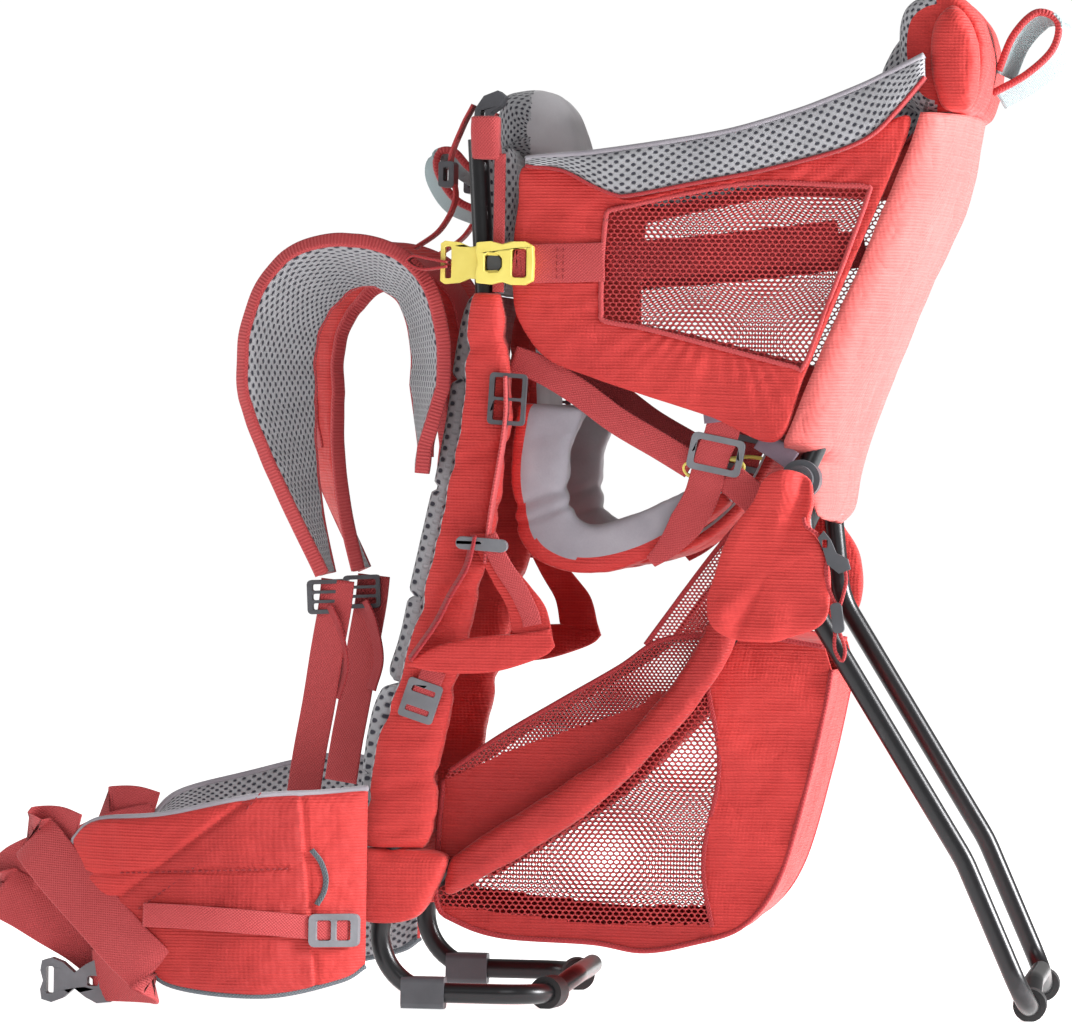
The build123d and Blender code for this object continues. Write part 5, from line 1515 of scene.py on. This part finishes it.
# %% Sleeves, sling, leg rings
SLEEVE_UP = [(-45, 102), (14, 144), (76, 189), (124, 250), (146, 306), (170, 345)]
SLEEVE_LOW = [(-45, 75), (14, 110), (63, 146), (118, 202), (155, 259), (190, 342)]
RING_UP = [(-1, 421), (-5, 373), (3, 326), (24, 308), (53, 304), (88, 313), (123, 334), (150, 355)]
RING_LOW = [(50, 421), (36, 388), (37, 352), (45, 340), (60, 338), (87, 348), (115, 362), (141, 371)]
ring_red = np.repeat(np.interp(np.linspace(0, 1, 129), [0, 0.3, 1], [-0.62, -0.55, 0.1]), 72)
for hand, sign in SIDES:
    sleeve = tube_of_cloth(f"seat_tube_sleeve_{hand}", SLEEVE_UP, SLEEVE_LOW, sign * 109, sign * 130.5,
                           [ripstop_mid], rows=150, puff=1.0, rumple=1.3, seed=81 + sign, mesh_side=0)
    place(sleeve, CARRIER, [f"stay_sleeve_{hand}"], "fabric_red", fill=0.3, cap=0.002)
    # The far ring takes the paler lining, a painted fill light on its shaded inner face.
    ring = tube_of_cloth(f"leg_ring_{hand}", RING_UP, RING_LOW, sign * 97, sign * 122,
                         [lining_grey if sign > 0 else lining_pale, ripstop_red], rows=130, puff=1.0,
                         rumple=1.3, seed=85 + sign, mesh_from=ring_red, folds=[(352, 2, 4), (338, 2, 3)])
    place(ring, CARRIER, once("seat_rings", sign), "lining_grey", fill=0.8)
    run(f"seat_web_{hand}", [(145, 412), (142, 400), (137, 388), (133, 372), (128, 356), (117, 337),
                             (106, 323), (95, 313)],
        sign * 127.6, 24 - 15 * np.clip(np.linspace(-2.2, 1, 60), 0, 1), 2.0, web_red,
        nodes=once("height_straps", sign), across=(0, 1, 0.2))
    run(f"seat_web_top_{hand}", [(144, 419), (145, 411)], sign * 127.9, 29, 4.0, lining_dusk, samples=8,
        across=(0, 1, -0.1))
    run(f"seat_diagonal_{hand}", [(-4, 452), (16, 445), (42, 430), (70, 410), (100, 393), (122, 380)],
        sign * 122.6, 19, 2.0, web_red, across=(0, 0.55, 0.83))
    run(f"seat_anchor_{hand}", [(146, 374), (156, 366), (170, 355)], sign * 125.5, 22, 2.6, web_red,
        samples=20, across=(0, 0.6, 0.8))
    run(f"seat_tie_{hand}", [(168, 399), (182, 391), (192, 384)], sign * 121, 14, 2.4, lining_dusk,
        samples=20, across=(0, 0.5, 0.86))
SLING_LINE = [(4, 468), (7, 400), (11, 350), (26, 322), (60, 313), (98, 318), (130, 334), (158, 362),
              (178, 402)]
grid = between(side(curve(SLING_LINE, 90), -75), side(curve(SLING_LINE, 90), 75), 56)
edge = crown(90, 56, 0.08)
child_first = grid_normals(grid)[45, 28, 2] > 0
# The sling wears the paler lining, partly painted fill light over the shade it sits in.
sling = shell("seat_sling_pad", grid, (2.0 + 2.6 * edge + waves(grid, 0.06, 91) * edge) * MM,
              (2.0 + 2.4 * edge) * MM,
              [lining_pale, ripstop_red] if child_first else [ripstop_red, lining_pale], back_material=1,
              edge_material=1 if child_first else 0)
weld(sling)
place(sling, CARRIER, ["seat_sling"], "lining_grey", fill=0.5)
print("seat", len(made_pieces))

# %% [markdown]
# ## The bag under the seat
# The bag is a sack with net sides and a red floor. Each side is one grid between the bag's floor
# line and its top line; the faces in front of the tail are net, and those of the tail are red. The
# floor and the lid are single sheets across the bag that sag a little between the sides.

# %% Bag
BAG_LOW = [(-50, 158), (-53, 110), (-53, 72), (-40, 60), (-7, 50), (56, 47), (91, 42), (125, 48), (161, 61),
           (186, 95), (205, 163), (216, 215), (220, 240)]
BAG_HIGH = [(-46, 164), (-11, 189), (30, 214), (72, 239), (98, 257), (126, 262), (170, 262), (215, 256)]


GORE_UP = [(90, 255), (119, 295), (140, 323), (160, 347)]
GORE_LOW = [(128, 258), (148, 292), (164, 322), (174, 349)]


def bag_side(sign):
    """Side of the bag: straight ribs between the floor line and the top line, bowed out by 2 mm."""
    low, high = curve(BAG_LOW, 260), curve(BAG_HIGH, 260)
    flat = between(low, high, 92)
    placed = place_flat(flat, 0)
    share = np.linspace(0, 1, 92)[None, :]
    bow = 1.6 * np.sin(np.pi * share) + waves(placed, 0.09, 95) * 2.4 * np.sin(np.pi * share)
    fold = np.sin((flat[..., 0] * 0.045 + flat[..., 1] * 0.11)) * 1.2 * (flat[..., 0] > 128)
    placed[..., 0] = sign * (104.6 + bow + fold) * MM
    return flat, placed


for hand, sign in SIDES:
    flat, placed = bag_side(sign)
    rows, columns = flat.shape[:2]
    middle = (flat[:-1, :-1] + flat[1:, 1:]) / 2
    rear = middle[..., 0] > 138 + 5 * np.sin(middle[..., 1] / 22)
    sleeve_top = np.interp(middle[..., 0], [p[0] for p in SLEEVE_UP], [p[1] for p in SLEEVE_UP])
    ridge = np.interp(middle[..., 0], [p[0] for p in BAG_HIGH], [p[1] for p in BAG_HIGH])
    band = np.interp(middle[..., 0], [-46, 30, 85, 130], [5, 22, 36, 34])
    upper = (middle[..., 1] > sleeve_top - 12) & (middle[..., 1] < ridge - band)
    foot = middle[..., 1] < np.interp(middle[..., 0], [-60, 60, 140], [72, 60, 62])
    red = (rear | upper | foot).astype(int)
    side_piece = to_object(f"bag_side_net_{hand}", placed.reshape(-1, 3),
                           quads(rows, columns, 0, False, sign < 0),
                           flat.reshape(-1, 2)[:, ::-1] * MM, [net_red, ripstop_mid, ripstop_red, net_fine],
                           np.where(rear, 2, np.where(red == 1, 1,
                                                      np.where(middle[..., 1] > ridge - band, 3, 0))).ravel())
    solid = side_piece.modifiers.new("thickness", "SOLIDIFY")
    solid.thickness, solid.offset = 0.0011, 0.0
    place(side_piece, CARRIER, [f"bag_side_{hand}"], "window_mesh")
    rows = np.linspace(60, 254, 50)
    seam_line = np.column_stack([138 + 5 * np.sin(rows / 22), rows])
    seam = tape(f"bag_seam_{hand}", side(seam_line, sign * 107.6), (0, 1, 0), 0.0032, 0.0012, [web_deep],
                corner=3)
    place(seam, CARRIER, (), "webbing_red")
    flat = between(curve(GORE_LOW, 60), curve(GORE_UP, 60), 24)
    placed = place_flat(flat, 0)
    climb = np.linspace(0, 1, 60)[:, None]
    placed[..., 0] = sign * (105.5 + 11 * climb + waves(placed, 0.05, 96) * 1.5) * MM
    gore = to_object(f"bag_gore_net_{hand}", placed.reshape(-1, 3), quads(60, 24, 0, False, sign < 0),
                     flat.reshape(-1, 2)[:, ::-1] * MM, [net_fine])
    solid = gore.modifiers.new("thickness", "SOLIDIFY")
    solid.thickness, solid.offset = 0.0011, 0.0
    place(gore, CARRIER, (), "window_mesh")
    hem = tape(f"bag_gore_hem_{hand}", placed[:, -1], LEVEL, 0.0036, 0.0036, [web_deep], corner=4)
    place(hem, CARRIER, (), "webbing_red")
for name, line, node, droop in (("bag_gusset_cloth", BAG_LOW, "bag_gusset", 2.0),
                                ("bag_lid_cloth", BAG_HIGH, "bag_lid", 3.0)):
    ridge = curve(line, 150)
    grid = between(side(ridge, -104.5), side(ridge, 104.5), 70)
    share = np.linspace(0, 1, 70)[None, :]
    grid = grid + grid_normals(grid) * (waves(grid, 0.07, 97) * 0.0022 * np.sin(np.pi * share))[..., None]
    grid[..., 2] -= droop * MM * np.sin(np.pi * share) * 0.8
    sheet = shell(name, grid, np.full(grid.shape[:2], 0.0009), np.full(grid.shape[:2], 0.0009), [ripstop_red])
    weld(sheet)
    place(sheet, CARRIER, [node], "fabric_red")
    size = float(np.linalg.norm(np.diff(ridge, axis=0), axis=1).sum() * MM)
for hand, sign in SIDES:
    for label, line in (("low", BAG_LOW), ("high", BAG_HIGH)):
        piping = tape(f"bag_piping_{label}_{hand}", side(curve(line, 120), sign * 105.6), LEVEL, 0.0036,
                      0.0036, [web_deep], corner=4)
        place(piping, CARRIER, (), "webbing_red")
print("bag", len(made_pieces))

# %% [markdown]
# ## Hinge flaps, knuckle covers and the small hook
# A folded flap of shell cloth hides each hinge of the stand. The knuckles at the foot of the seat
# are wrapped the same way. A doubled cord with a hook hangs behind the left flap.

# %% Flaps and covers
FLAP_LINE = [(207, 341), (209, 357), (206, 372), (190, 378), (175, 372), (167, 356), (154, 337), (143, 308),
             (137, 286), (141, 269), (156, 261), (171, 260), (191, 262), (217, 274), (222, 298), (219, 320)]
FLAP_SEAM = curve([(202, 372), (200, 348), (190, 328), (176, 303), (165, 282), (156, 258)], 60)
KNUCKLE_LINE = [(-105, 109), (-107, 88), (-106, 63), (-90, 58), (-63, 64), (-52, 84), (-46, 94), (-47, 108)]
for hand, sign in SIDES:
    low, high = sorted((sign * 150.5, sign * 157))
    flap = bolster(f"hinge_flap_{hand}", FLAP_LINE, low, high, [ripstop_red], along=24, round_end=0.5,
                   end_scale=0.8, rumple=1.1, seed=101 + sign)
    spots = np.array([v.co for v in flap.data.vertices])
    gap = spots[:, None, 1:] / MM - FLAP_SEAM[None]
    far = np.linalg.norm(gap, axis=2)
    near = far.argmin(axis=1)
    side_of = np.sign(gap[np.arange(len(gap)), near, 0])
    far = far.min(axis=1) * side_of
    relief = 5.6 * np.exp(-(((far + 15) / 10) ** 2)) + 3.6 * np.exp(-(((far - 22) / 12) ** 2))
    relief = (relief + 1.5 - 3.4 * np.exp(-((far / 3.2) ** 2))) * (np.abs(spots[:, 0]) > 0.1535)
    spots[:, 0] += sign * relief * MM
    flap.data.vertices.foreach_set("co", spots.astype(np.float32).ravel())
    place(flap, CARRIER, once("hinge_flaps", sign), "fabric_red", fill=0.3)
    low, high = sorted((sign * 107.5, sign * 138.5))
    cover = bolster(f"knuckle_cover_{hand}", KNUCKLE_LINE, low, high, [ripstop_red], along=40, round_end=0.12,
                    end_scale=0.7, rumple=1.2, seed=105 + sign)
    place(cover, CARRIER, [f"knuckle_{hand}"], "fabric_red", fill=0.4, cap=0.002)
hook = moulded_plate("cord_hook_body", [(213, 332), (217, 337), (222, 331), (226, 322), (234, 318),
                                        (236, 311), (228, 308),
                                        (220, 314), (217, 324)], [rounded(216, 325.5, 220, 331, 1)], 158,
                                        163, nylon_dark, 1.4, 4)
place(hook, CARRIER, ["cord_hook"], "plastic_grey")
toggle = moulded_plate("cord_toggle", turned(rounded(223.5, 267, 231.5, 288, 3), (227.5, 277), 8), [], 157.5,
                       163.5, nylon_dark, 2.4, 4)
place(toggle, CARRIER, (), "plastic_grey")
for label, line in (("top", [(203, 346), (205, 340), (211, 336), (217, 331)]),
                    ("front", [(220, 318), (219, 310), (221, 298), (226, 287)]),
                    ("rear", [(232, 312), (233, 303), (231, 293), (229, 286)]),
                    ("end", [(229, 268), (233, 256), (231, 248), (226, 256), (226, 268)])):
    run(f"cord_{label}", line, 160.5, 2.6, 2.6, web_deep, samples=30)
print("covers", len(made_pieces))
